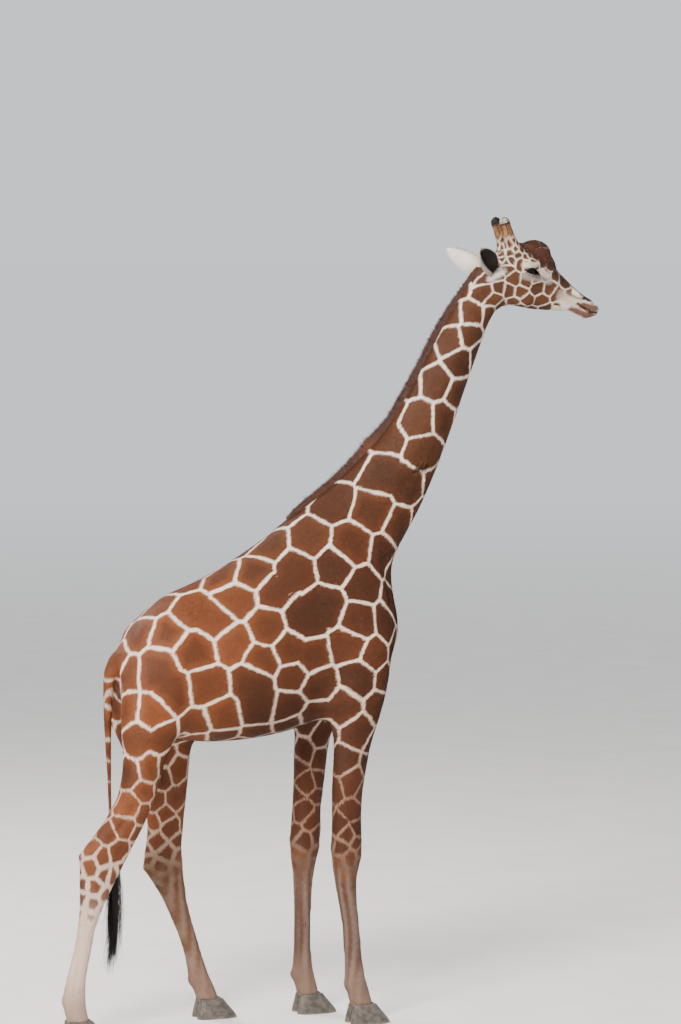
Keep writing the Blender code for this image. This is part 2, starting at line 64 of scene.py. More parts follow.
def gathered(nodes, grow=0.001):
    """Merged copies of the named solids, a little grown so that neighbours overlap."""
    whole = bmesh.new()
    for node in nodes:
        piece = bmesh.new()
        piece.from_mesh(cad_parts[node].data)
        bmesh.ops.remove_doubles(piece, verts=piece.verts, dist=1e-5)
        piece.normal_update()
        moves = [vert.normal * grow for vert in piece.verts]
        for vert, move in zip(piece.verts, moves):
            vert.co += move
            if node.endswith("_lower") and vert.co.z < ANKLE_Z:
                vert.co.z -= ANKLE_DROP
        copy = bpy.data.meshes.new("copy")
        piece.to_mesh(copy)
        piece.free()
        whole.from_mesh(copy)
        bpy.data.meshes.remove(copy)
    return whole


def new_object(name, mesh):
    data = bpy.data.meshes.new(name)
    mesh.to_mesh(data)
    mesh.free()
    thing = bpy.data.objects.new(name, data)
    scene.collection.objects.link(thing)
    return thing


def settled(thing):
    """Apply an object's modifiers."""
    data = bpy.data.meshes.new_from_object(thing.evaluated_get(bpy.context.evaluated_depsgraph_get()))
    thing.modifiers.clear()
    old = thing.data
    thing.data = data
    bpy.data.meshes.remove(old)
    return thing


def fused(name, nodes, voxel):
    """Several solids grown together into one even surface."""
    thing = new_object(name, gathered(nodes))
    remesh = thing.modifiers.new("fuse", "REMESH")
    remesh.mode = "VOXEL"
    remesh.voxel_size = voxel
    return settled(thing)


def points_of(data):
    place = np.empty(len(data.vertices) * 3)
    data.vertices.foreach_get("co", place)
    return place.reshape(-1, 3)


def normals_of(data):
    normal = np.empty(len(data.vertices) * 3)
    data.vertices.foreach_get("normal", normal)
    return normal.reshape(-1, 3)


def put_points(data, place):
    data.vertices.foreach_set("co", np.ascontiguousarray(place).ravel())
    data.update()


def smooth_faces(data):
    data.polygons.foreach_set("use_smooth", np.ones(len(data.polygons), dtype=bool))
    data.update()


def relax(data, rounds, share=1.0, hold=True):
    """Even out a surface; with `hold` it keeps its volume. `share` may differ by vertex."""
    place = points_of(data)
    count = len(place)
    edges = np.empty(len(data.edges) * 2, dtype=np.int64)
    data.edges.foreach_get("vertices", edges)
    a, b = edges.reshape(-1, 2).T
    degree = (np.bincount(a, minlength=count) + np.bincount(b, minlength=count))[:, None]
    share = np.broadcast_to(np.asarray(share, dtype=float).reshape(-1, 1), (count, 1))
    for factor in ((0.60, -0.61) if hold else (0.5,)) * rounds:
        total = np.empty_like(place)
        for axis in range(3):
            total[:, axis] = np.bincount(a, place[b, axis], count) + np.bincount(b, place[a, axis], count)
        place += factor * share * (total / degree - place)
    put_points(data, place)


def even(data, rounds, share):
    """Take the facets out of a broad surface, then give back what it lost in size."""
    start = points_of(data)
    relax(data, rounds, share, hold=False)
    smooth = points_of(data)
    put_points(data, start - smooth)
    relax(data, rounds, share, hold=False)
    put_points(data, smooth + points_of(data))


def ramp(value, low, high):
    """Smooth step from 0 at low to 1 at high; low may be the larger."""
    t = np.clip((np.asarray(value) - low) / (high - low), 0, 1)
    return t * t * (3 - 2 * t)


broad = fused("broad_form", BODY_NODES, BROAD_VOXEL)
place = points_of(broad.data)
on_legs = ramp(place[:, 2], 1.75, 1.35)
on_neck = ramp(place[:, 2], 2.9, 3.4)
even(broad.data, 200, 1 - 0.90 * on_legs - 0.70 * on_neck)
hide = fused("hide", BODY_NODES + TRIM_NODES + EYE_NODES, FINE_VOXEL)
relax(hide.data, 8)

HEAD_FROM = (0.96, 4.30)
HEAD_RUN = (0.908, 0.419)


def head_share(place):
    """0 on trunk, neck, legs and tail, rising to 1 on the head."""
    along = (place[:, 0] - HEAD_FROM[0]) * HEAD_RUN[0] + (place[:, 2] - HEAD_FROM[1]) * HEAD_RUN[1]
    return ramp(along, -0.06, 0.06) * (place[:, 2] > 4.0)


def surface_tree(thing):
    """A tree for finding the nearest place on a piece."""
    mesh = bmesh.new()
    mesh.from_mesh(thing.data)
    tree = bvhtree.BVHTree.FromBMesh(mesh)
    mesh.free()
    return tree


broad_tree = surface_tree(broad)
tail_tree = surface_tree(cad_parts["tail"])
tail_low, tail_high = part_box("tail")


def laid_share(place):
    """How far each point belongs to the broad form (1), and not to the head or the tail (0)."""
    share = 1 - head_share(place)
    beside = (place[:, 0] < tail_high.x + 0.02) & (np.abs(place[:, 1]) < 0.10)
    beside &= (place[:, 2] > tail_low.z - 0.03) & (place[:, 2] < tail_high.z + 0.03)
    for i in np.nonzero(beside)[0]:
        to_tail = tail_tree.find_nearest(place[i])[3]
        to_broad = broad_tree.find_nearest(place[i])[3]
        share[i] *= float(ramp(to_tail - to_broad, -0.002, 0.012))
    return share


# The hide is laid on the broad form, which has no facets, and the body is then thinned out.
place = points_of(hide.data)
lay = laid_share(place)
for i in np.nonzero(lay > 0.01)[0]:
    spot = broad_tree.find_nearest(place[i])[0]
    place[i] += (np.array(spot) - place[i]) * lay[i]
put_points(hide.data, place)
bpy.data.objects.remove(broad)
relax(hide.data, 6, lay)
group = hide.vertex_groups.new(name="thin_out")
for step in range(11):
    members = np.nonzero(np.round(lay * 10) == step)[0]
    group.add(members.tolist(), step / 10, "REPLACE")
fewer = hide.modifiers.new("fewer", "DECIMATE")
fewer.vertex_group = "thin_out"
fewer.vertex_group_factor = 5
fewer.ratio = HIDE_TRIANGLES / (2 * len(hide.data.polygons))
settled(hide)
hide.vertex_groups.clear()
relax(hide.data, 3, 0.5)
put_points(hide.data, points_of(hide.data) - normals_of(hide.data) * (COAT_DEPTH + 0.001))

# ---- Modelling of the hide -----------------------------------------------------------------
# Muscle, bone, tendons and folds are modelled into the hide by strokes. Each stroke is a line of
# points with a radius and a height: the hide is raised along it, or pressed in where negative.
EYE = {side: sum(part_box(name), Vector()) / 2 for side, name in ((-1, "eye_right"), (1, "eye_left"))}
BALL = 0.0318
FINEST_EDGE = 0.0028
FINER_REACH = 0.72
STROKE_REACH = 2.6
MUZZLE_MIDDLE = (1.640, 0, 4.25)
FINE_SPOTS = ((tuple(EYE[-1]), 0.070), (tuple(EYE[1]), 0.070), (MUZZLE_MIDDLE, 0.105))

for level in range(2):
    mesh = bmesh.new()
    mesh.from_mesh(hide.data)
    chosen = set()
    for centre, reach in FINE_SPOTS:
        centre = Vector(centre)
        reach = reach if level == 0 else reach * FINER_REACH
        for edge in mesh.edges:
            if (edge.verts[0].co - centre).length < reach and edge.calc_length() > FINEST_EDGE:
                chosen.add(edge)
    bmesh.ops.subdivide_edges(mesh, edges=list(chosen), cuts=1, use_grid_fill=True)
    bmesh.ops.triangulate(mesh, faces=[face for face in mesh.faces if len(face.verts) > 3])
    mesh.to_mesh(hide.data)
    mesh.free()


def gap_to(place, line):
    """Distance from points to a line of points."""
    line = np.array(line, dtype=float)
    if len(line) == 1:
        line = np.vstack((line, line))
    best = np.full(len(place), np.inf)
    for a, b in zip(line, line[1:]):
        run = b - a
        along = np.clip(((place - a) @ run) / max(run @ run, 1e-12), 0, 1)
        best = np.minimum(best, np.linalg.norm(place - (a + along[:, None] * run), axis=1))
    return best


def stroke(place, normal, line, radius, height):
    """Raise (or press) the surface along a line of points."""
    low = np.min(line, axis=0) - STROKE_REACH * radius
    high = np.max(line, axis=0) + STROKE_REACH * radius
    near = np.nonzero(((place > low) & (place < high)).all(axis=1))[0]
    gap = gap_to(place[near], line)
    place[near] += normal[near] * (height * np.exp(-((gap / radius) ** 2)))[:, None]


def twin_strokes(line, sides, radius, height):
    """The same stroke at two distances from the middle; the line's points are (forward, up)."""
    return [([(x, y, z) for x, z in line], radius, height) for y in sides]


# Points are (forward, sideways, up). The body's and head's strokes are mirrored on both sides.
SCAR = ((0.49, -0.15, 3.27), (0.59, -0.12, 3.30))
BODY_STROKES = (
    # shoulder blade, its spine, point of shoulder, arm
    (((-0.02, 0.20, 2.80), (0.10, 0.30, 2.45), (0.22, 0.31, 2.20)), 0.055, 0.012),
    (((-0.14, 0.26, 2.75), (-0.05, 0.36, 2.35), (-0.03, 0.36, 2.05)), 0.045, -0.010),
    (((0.27, 0.28, 2.28),), 0.085, 0.016),
    (((0.10, 0.36, 2.12), (0.02, 0.36, 1.96)), 0.070, 0.012),
    (((-0.075, 0.34, 1.90),), 0.040, 0.014),
    # breast groove and the hollow before the shoulder
    (((0.40, 0.00, 2.30), (0.33, 0.00, 2.05)), 0.035, -0.012),
    (((0.28, 0.17, 2.75), (0.33, 0.20, 2.50)), 0.050, -0.014),
    # neck muscles and the groove of the great vein
    (((0.98, 0.06, 4.18), (0.84, 0.08, 3.85), (0.66, 0.11, 3.45), (0.44, 0.16, 3.00)), 0.030, -0.006),
    (((0.90, 0.09, 4.20), (0.72, 0.11, 3.85), (0.50, 0.14, 3.40), (0.22, 0.20, 3.00)), 0.045, 0.006),
    # ribs, flank, hip bone, loin
    (((-0.20, 0.37, 2.60), (-0.24, 0.40, 2.25), (-0.22, 0.36, 1.95)), 0.022, 0.003),
    (((-0.32, 0.35, 2.58), (-0.37, 0.39, 2.25), (-0.35, 0.36, 1.93)), 0.022, 0.003),
    (((-0.45, 0.33, 2.56), (-0.50, 0.38, 2.25), (-0.48, 0.36, 1.93)), 0.022, 0.003),
    (((-0.80, 0.30, 2.30), (-0.76, 0.34, 2.05), (-0.70, 0.33, 1.85)), 0.060, -0.014),
    (((-0.92, 0.22, 2.47),), 0.055, 0.016),
    (((-1.22, 0.10, 2.36),), 0.060, 0.010),
    (((-1.00, 0.28, 2.30), (-1.05, 0.33, 2.00)), 0.080, 0.010),
    (((-1.33, 0.11, 2.12),), 0.050, 0.012),
)
# Strokes that are not mirrored: each leg's own, as the legs stand differently, then folds and scar.
LEG_STROKES = (
    # right hind: stifle, tendon hollow, hock point, cannon grooves
    (((-1.03, -0.33, 1.80),), 0.060, 0.014),
    *twin_strokes(((-1.26, 1.42), (-1.41, 1.20)), (-0.29, -0.20), 0.022, -0.013),
    (((-1.60, -0.245, 1.075),), 0.028, 0.010),
    *twin_strokes(((-1.56, 0.88), (-1.63, 0.50), (-1.66, 0.33)), (-0.29, -0.20), 0.014, -0.005),
    (((-1.71, -0.245, 0.235),), 0.030, 0.012),
    # left hind
    (((-0.76, 0.33, 1.76),), 0.060, 0.014),
    *twin_strokes(((-1.00, 1.28), (-1.04, 1.10)), (0.26, 0.16), 0.022, -0.013),
    (((-1.09, 0.215, 0.92),), 0.028, 0.010),
    *twin_strokes(((-0.98, 0.75), (-0.87, 0.50), (-0.82, 0.33)), (0.26, 0.17), 0.014, -0.005),
    (((-0.81, 0.215, 0.225),), 0.030, 0.012),
    # right fore: forearm muscle, knee bones, cannon grooves, fetlock
    (((0.08, -0.34, 1.62), (0.04, -0.33, 1.42)), 0.045, 0.008),
    (((0.10, -0.255, 1.11),), 0.040, 0.008),
    (((0.10, -0.255, 1.00),), 0.035, 0.009),
    (((-0.06, -0.255, 1.05),), 0.030, 0.010),
    (((0.02, -0.315, 1.20), (0.01, -0.32, 1.04)), 0.020, -0.005),
    *twin_strokes(((0.00, 0.85), (0.03, 0.55), (0.04, 0.32)), (-0.30, -0.21), 0.013, -0.005),
    (((0.01, -0.255, 0.235),), 0.030, 0.012),
    # left fore
    (((-0.02, 0.27, 1.62), (-0.05, 0.26, 1.42)), 0.045, 0.008),
    (((-0.01, 0.185, 1.11),), 0.040, 0.008),
    (((-0.01, 0.185, 1.00),), 0.035, 0.009),
    (((-0.17, 0.185, 1.05),), 0.030, 0.010),
    *twin_strokes(((-0.11, 0.85), (-0.12, 0.55), (-0.12, 0.32)), (0.23, 0.14), 0.013, -0.005),
    (((-0.17, 0.185, 0.235),), 0.030, 0.012),
    # creases of the right armpit, old scar low on the right of the neck: its groove and two lips
    (((0.02, -0.36, 1.86), (-0.06, -0.33, 1.80), (-0.14, -0.27, 1.79)), 0.012, -0.010),
    (((0.00, -0.36, 1.83), (-0.08, -0.32, 1.77)), 0.010, 0.006),
    (SCAR, 0.012, -0.012),
    ([(x + 0.02, y, z + 0.03) for x, y, z in SCAR], 0.012, 0.008),
    ([(x + 0.02, y, z - 0.02) for x, y, z in SCAR], 0.011, 0.005),
    # creases beside the dock of the tail
    *[(((-1.335, side * 0.075, 2.20), (-1.33, side * 0.085, 2.06), (-1.31, side * 0.085, 1.98)),
       0.016, -0.016) for side in (-1, 1)],
)
HEAD_STROKES = (
    # cheek bone from under the eye, jaw muscle, jaw edge, hollow behind the lips
    (((1.20, 0.12, 4.42), (1.32, 0.11, 4.40), (1.44, 0.08, 4.38)), 0.016, 0.006),
    (((1.26, 0.11, 4.36), (1.38, 0.09, 4.35)), 0.022, -0.006),
    (((1.24, 0.10, 4.28), (1.28, 0.09, 4.26)), 0.035, 0.009),
    (((1.06, 0.09, 4.28), (1.10, 0.09, 4.25)), 0.030, 0.005),
    (((1.08, 0.09, 4.26), (1.24, 0.08, 4.235), (1.42, 0.06, 4.225)), 0.014, 0.004),
    (((1.46, 0.07, 4.29), (1.55, 0.07, 4.27)), 0.022, -0.006),
    # upper lip, lower lip, nostril wings, nose bone
    (((1.58, 0.062, 4.262), (1.64, 0.058, 4.235), (1.70, 0.035, 4.222)), 0.014, 0.005),
    (((1.57, 0.055, 4.21), (1.63, 0.052, 4.19), (1.67, 0.030, 4.19)), 0.014, 0.004),
    (((1.625, 0.045, 4.325), (1.672, 0.040, 4.288)), 0.010, 0.005),
    (((1.36, 0.045, 4.50), (1.50, 0.045, 4.40)), 0.016, -0.004),
    # knobbly brow ridge, temple hollow, root of the ear
    (((1.17, 0.105, 4.520), (1.25, 0.115, 4.520), (1.30, 0.10, 4.50)), 0.018, 0.003),
    (((1.12, 0.105, 4.50),), 0.030, -0.007),
    (((1.02, 0.10, 4.47),), 0.030, 0.008),
)
NOSTRIL = ((1.61, 0.06, 4.30), (1.63, 0.06, 4.30), (1.65, 0.05, 4.28))
MOUTH = ((1.56, 0.07, 4.25), (1.61, 0.06, 4.23), (1.64, 0.06, 4.21), (1.70, 0.03, 4.21), (1.72, 0, 4.21))
MOUTH_FOLDS = (((1.56, 0.07, 4.25), (1.55, 0.07, 4.24)), ((1.53, 0.07, 4.26), (1.53, 0.06, 4.24)))
LIP_CLEFT = ((1.70, 0, 4.26), (1.72, 0, 4.22))


def laid_on_hide(line, parts=4):
    """A line of points drawn finer and laid on the hide."""
    line = np.array(line, dtype=float)
    share = np.linspace(0, 1, parts, endpoint=False)[:, None]
    fine_line = np.vstack([a + (b - a) * share for a, b in zip(line, line[1:])] + [line[-1:]])
    tree = surface_tree(hide)
    return [tuple(tree.find_nearest(point)[0]) for point in fine_line]


FINE_HEAD_STROKES = (
    (laid_on_hide(NOSTRIL), 0.0065, -0.013),
    (laid_on_hide(NOSTRIL[1:]), 0.0050, -0.008),
    (laid_on_hide(MOUTH), 0.0045, -0.010),
    (laid_on_hide(MOUTH_FOLDS[0]), 0.0060, -0.004),
    (laid_on_hide(MOUTH_FOLDS[1]), 0.0060, -0.002),
    (laid_on_hide(LIP_CLEFT), 0.0040, -0.005),
)


def lay_strokes(strokes, mirrored):
    """Shape the hide by strokes; mirrored ones are laid on both sides."""
    place = points_of(hide.data)
    normal = normals_of(hide.data)
    for line, radius, height in strokes:
        stroke(place, normal, line, radius, height)
        if mirrored and any(abs(y) > 1e-6 for _, y, _ in line):
            stroke(place, normal, [(x, -y, z) for x, y, z in line], radius, height)
    put_points(hide.data, place)


JAW_MIDDLE = (1.15, 0, 4.30)
DOCK = (-1.30, 0, 2.23)
lay_strokes(BODY_STROKES, True)
lay_strokes(LEG_STROKES, False)
lay_strokes(HEAD_STROKES, True)
place = points_of(hide.data)
fine = np.zeros(len(place))
for horn_core in ("ossicone_right", "ossicone_left"):
    low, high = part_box(horn_core)
    above_root = np.abs(place[:, 2] - (low.z + 0.030))
    flare = (above_root < 0.05) & (np.abs(place[:, 0] - (low.x + high.x) / 2) < 0.10)
    flare &= place[:, 1] * (low.y + high.y) > 0
    fine = np.maximum(fine, flare * ramp(above_root, 0.05, 0.025))
relax(hide.data, 14, fine, hold=False)
place = points_of(hide.data)
jaw = np.linalg.norm((place - JAW_MIDDLE) * (1, 0, 1), axis=1)
relax(hide.data, 60, ramp(jaw, 0.13, 0.07) * (np.abs(place[:, 1]) > 0.03), hold=False)
place = points_of(hide.data)
dock = np.linalg.norm((place - DOCK) * (1, 0.8, 1), axis=1)
relax(hide.data, 60, ramp(dock, 0.15, 0.08), hold=False)
place = points_of(hide.data)
fine = np.zeros(len(place))
for centre, reach in FINE_SPOTS:
    fine = np.maximum(fine, ramp(np.linalg.norm(place - np.array(centre), axis=1), reach * 1.1, reach * 0.8))
relax(hide.data, 6, fine, hold=False)
lay_strokes(FINE_HEAD_STROKES, True)

# Eyelids: the hide is stretched over the ball and opened in a drooping almond.
OPEN_LONG = 0.0265
OPEN_UP = 0.0095
OPEN_DOWN = 0.0115
LID = 0.0034
LID_REACH = 0.060
SOCKET_REACH = 0.085
# Lid folds above and below: height, and distance as a multiple of the opening.
LID_FOLDS = ((0.0022, 1.45), (-0.0025, 1.9), (0.0020, 2.4))


def eye_axes(side):
    """Gaze, forward and up directions of an eye."""
    gaze = Vector((0.25, side * 0.95, -0.10)).normalized()
    fore = Vector((0.94, -side * 0.25, -0.18))
    fore = (fore - gaze * fore.dot(gaze)).normalized()
    up = gaze.cross(fore) * -side
    return gaze, fore, up.normalized()


place = points_of(hide.data)
for side in (-1, 1):
    gaze, fore, up = (np.array(v) for v in eye_axes(side))
    centre = np.array(EYE[side])
    off = place - centre
    out = off @ gaze
    a = off @ fore
    b = off @ up
    near = (np.linalg.norm(off, axis=1) < SOCKET_REACH) & (out > -0.01)
    tall = np.where(b > 0, OPEN_UP, OPEN_DOWN)
    ellipse = np.sqrt((a / OPEN_LONG) ** 2 + (b / tall) ** 2)
    snap = near & (np.abs(ellipse - 1) < 0.15)
    a = np.where(snap, a / ellipse, a)
    b = np.where(snap, b / ellipse, b)
    ellipse = np.where(snap, 1.0, ellipse)
    flat = np.sqrt(a * a + b * b)
    depth = np.sqrt(np.maximum(0.0, (BALL + LID) ** 2 - np.minimum(flat, BALL) ** 2))
    cover = centre + a[:, None] * fore + b[:, None] * up + depth[:, None] * gaze
    inside = near & (ellipse < 1)
    lidded = near & ~inside
    pull = np.where(lidded, ramp(flat, LID_REACH, 0.026), 0.0)[:, None]
    place = place + (cover - place) * pull
    sunk = centre + a[:, None] * fore + b[:, None] * up + (BALL * 0.45) * gaze
    place[inside] = sunk[inside]
    for height, gap in LID_FOLDS:
        band = np.exp(-((ellipse - gap) / 0.22) ** 2) * lidded * (flat < LID_REACH)
        place += gaze * (height * band)[:, None]
put_points(hide.data, place)
smooth_faces(hide.data)

# ---- Markings ------------------------------------------------------------------------------
# Chestnut patches parted by cream lines. Each patch is the hide nearest to its one or two seeds.
# Seeds are strewn at the spacing usual for the part of the body, wider along the neck than
# across it, and some neighbours are joined into one larger, less regular patch.
TRUNK_GAP = 0.155
NECK_GAP = 0.160
THROAT_GAP = 0.105
HEAD_GAP = 0.062
BROW_GAP = 0.030
ELBOW_GAP = 0.120
KNEE_GAP = 0.055
ELBOW_Z = 1.75
NECK_RUN = np.array((0.50, 0, 0.87))
NECK_STRETCH = 1.40
JOINED = 0.12
SEED_TRIES = 15_000
HEAD_ODDS = 7
BETWEEN_LEGS = -0.5
EDGE_SOFT = 0.0022
LIGHT_FROM, LIGHT_SPAN = 0.75, 0.5
HEART_FROM, HEART_TO = 0.015, 0.075
HEART_LEAST, HEART_SPAN = 0.15, 0.5
HORN_ROOT = np.array((1.158, 0.060, 4.555))
HORN_TOP = np.array((1.079, 0.072, 4.775))
rng = np.random.default_rng(7)


def horn_place(place):
    """Share of the way up an ossicone (below 0 elsewhere) and turn round its middle line."""
    axis = HORN_TOP - HORN_ROOT
    off = place * (1, 0, 1) + np.abs(place) * (0, 1, 0) - HORN_ROOT
    along = off @ axis / (axis @ axis)
    off = off - along[:, None] * axis
    return np.where(np.linalg.norm(off, axis=1) < 0.075, along, -1.0), np.arctan2(off[:, 1], off[:, 0])


def zones(place):
    """Soft share of head, neck, leg, rump and ossicone for points on the hide."""
    x, y, z = place.T
    head = head_share(place)
    neck = ramp(z - 0.55 * x, 2.75, 3.15) * (1 - head)
    leg = ramp(z, 1.62, 1.35)
    rump = ramp(x, -0.30, -0.90) * (1 - leg)
    horn = ramp(horn_place(place)[0], 0.10, 0.35)
    return head, neck, leg, rump, horn


def spot_gap(place):
    """Usual distance between neighbouring seeds."""
    head, neck, leg, rump, horn = zones(place)
    on_neck = NECK_GAP + (THROAT_GAP - NECK_GAP) * ramp(place[:, 2], 3.20, 4.10)
    gap = TRUNK_GAP + (on_neck - TRUNK_GAP) * neck + (HEAD_GAP - TRUNK_GAP) * head
    x, _, z = place.T
    brow = ramp(z, 4.475, 4.51) * ramp(x, 1.30, 1.24) * ramp(x, 0.98, 1.04) * head
    gap = gap + (BROW_GAP - HEAD_GAP) * np.maximum(brow, horn)
    limb = KNEE_GAP + (ELBOW_GAP - KNEE_GAP) * ramp(z, 0.75, ELBOW_Z)
    return np.where(z < ELBOW_Z, limb, gap)


def apart(spot, others, neck):
    """Distances from a seed to others, counted shorter along the neck on the neck."""
    off = others - spot
    return np.sqrt((off ** 2).sum(axis=1) - neck * (1 - NECK_STRETCH ** -2) * (off @ NECK_RUN) ** 2)


def triangle_parts(data):
    """Corner places, areas and normals of a mesh of triangles."""
    data.calc_loop_triangles()
    index = np.empty(len(data.loop_triangles) * 3, dtype=np.int64)
    data.loop_triangles.foreach_get("vertices", index)
    index = index.reshape(-1, 3)
    corner = points_of(data)[index]
    cross = np.cross(corner[:, 1] - corner[:, 0], corner[:, 2] - corner[:, 0])
    size = np.linalg.norm(cross, axis=1)
    return index, corner, size / 2, cross / np.maximum(size, 1e-12)[:, None]


index, corner, area, facing = triangle_parts(hide.data)
middle = corner.mean(axis=1)
odds = area * (1 + HEAD_ODDS * head_share(middle))
tries = rng.choice(len(area), SEED_TRIES, p=odds / odds.sum())
weights = rng.dirichlet((1, 1, 1), len(tries))
tries = np.einsum("ij,ijk->ik", weights, corner[tries])
spots = tries[:1]
for spot, gap, neck in zip(tries[1:], spot_gap(tries[1:]), zones(tries[1:])[1]):
    if apart(spot, spots, neck).min() > gap:
        spots = np.vstack((spots, spot))
spot_tree = kdtree.KDTree(len(spots))
for number, spot in enumerate(spots):
    spot_tree.insert(spot, number)
spot_tree.balance()
patch_of = np.arange(len(spots))
alone = (head_share(spots) < 0.5) & (spots[:, 2] > 1.10)
for number in np.nonzero(alone & (rng.uniform(0, 1, len(spots)) < JOINED))[0]:
    partner = spot_tree.find_n(spots[number], 2)[1][1]
    if alone[number] and alone[partner]:
        patch_of[partner] = number
        alone[number] = alone[partner] = False
spot_luck = rng.uniform(0, 1, (len(spots), 2))[patch_of]
WAVES = rng.normal(0, 1, (3, 5, 3))
PHASES = rng.uniform(0, 6.28, (3, 5))


def wobble(place, size, amount):
    """Shift points by smooth waves of a size, so that straight edges run a little crooked."""
    shift = np.empty_like(place)
    for axis in range(3):
        shift[:, axis] = np.sin(place @ (WAVES[axis].T * (3.5 / size)) + PHASES[axis]).sum(axis=1)
    return place + shift * (amount / 2.2)


def warped(place):
    """Shift points in broad and in small waves, the broad ones less on the head."""
    broad_waves = (wobble(place, 0.22, 0.008) - place) * (1 - 0.65 * head_share(place))[:, None]
    return place + broad_waves + (wobble(place, 0.05, 0.002) - place)


def nearest_spots(place):
    """The nearest seed of each of the three nearest patches."""
    found = np.empty((len(place), 3), dtype=np.int64)
    for row, point in enumerate(place):
        nearest = {}
        for _, number, _ in spot_tree.find_n(point, 8):
            nearest.setdefault(patch_of[number], number)
        found[row] = list(nearest.values())[:3]
    return found


def edge_values(place, trio):
    """Signed distances to the three borders between the three nearest spots."""
    a, b, c = (spots[trio[:, k]] for k in range(3))

    def border(p, q):
        return (((place - q) ** 2).sum(axis=1) - ((place - p) ** 2).sum(axis=1)) / (
            2 * np.linalg.norm(p - q, axis=1))
    return np.stack((border(a, b), border(a, c), border(b, c)), axis=1)


def edge_distance(values):
    """How far inside its patch a point lies, from the nearest border."""
    ab, ac, bc = values.T
    return np.maximum(np.maximum(np.minimum(ab, ac), np.minimum(-ab, bc)), np.minimum(-ac, -bc))


def linear(red, green, blue):
    """A colour given as 0-255 screen values, as light."""
    value = np.array((red, green, blue)) / 255
    return np.where(value <= 0.04045, value / 12.92, ((value + 0.055) / 1.055) ** 2.4)


CHESTNUT = linear(88, 49, 24)
HEART_TONE = CHESTNUT * 0.45
TRUNK_BROWN = linear(90, 46, 20)
# rump brown: partly the rump's own warmer tone, partly painted sunlight
RUMP_BROWN_SUNLIT = linear(132, 72, 38)
HIND_BROWN = linear(118, 64, 34)
FORE_BROWN = linear(74, 36, 14)
FACE_BROWN = linear(88, 52, 28)
CREAM = linear(250, 226, 206)
WHITE = linear(244, 232, 222)
HEAD_PALE = linear(228, 212, 198)
HIND_LINE = linear(204, 172, 150)
FORE_LINE = linear(146, 112, 90)
FORE_CANNON = linear(92, 66, 52)
HIND_CANNON = linear(216, 190, 172)
# the left hind cannon's colour is darkened with painted shade
FAR_CANNON_SHADED = linear(104, 72, 50)
SMUDGE = linear(104, 62, 36)
CANNON_PALE = linear(158, 132, 118)
HORN_TAN = linear(142, 104, 68)
HORN_BROWN = linear(66, 34, 16)
BLACK = linear(26, 20, 18)
DARK_NOSE = linear(68, 37, 23)
LIP = linear(84, 50, 26)
MUZZLE_PALE = linear(176, 156, 142)
GREY = linear(150, 134, 124)
LID_PALE = linear(206, 194, 178)
DUST = linear(140, 112, 94)
SHEATH = linear(190, 160, 134)


def blend(base, colour, share):
    return base + (np.asarray(colour) - base) * np.asarray(share)[:, None]


def all_over(colour, place):
    """One colour for every point."""
    return np.tile(colour, (len(place), 1))


def near_line(place, line, radius, mirrored=True):
    """1 on a line of points, fading to 0 at about twice the radius."""
    flips = (1, -1) if mirrored else (1,)
    best = np.min([gap_to(place, np.array(line) * (1, flip, 1)) for flip in flips], axis=0)
    return np.exp(-((best / radius) ** 2))


NOSTRIL_LINE = laid_on_hide(NOSTRIL)
MOUTH_LINE = laid_on_hide(MOUTH)
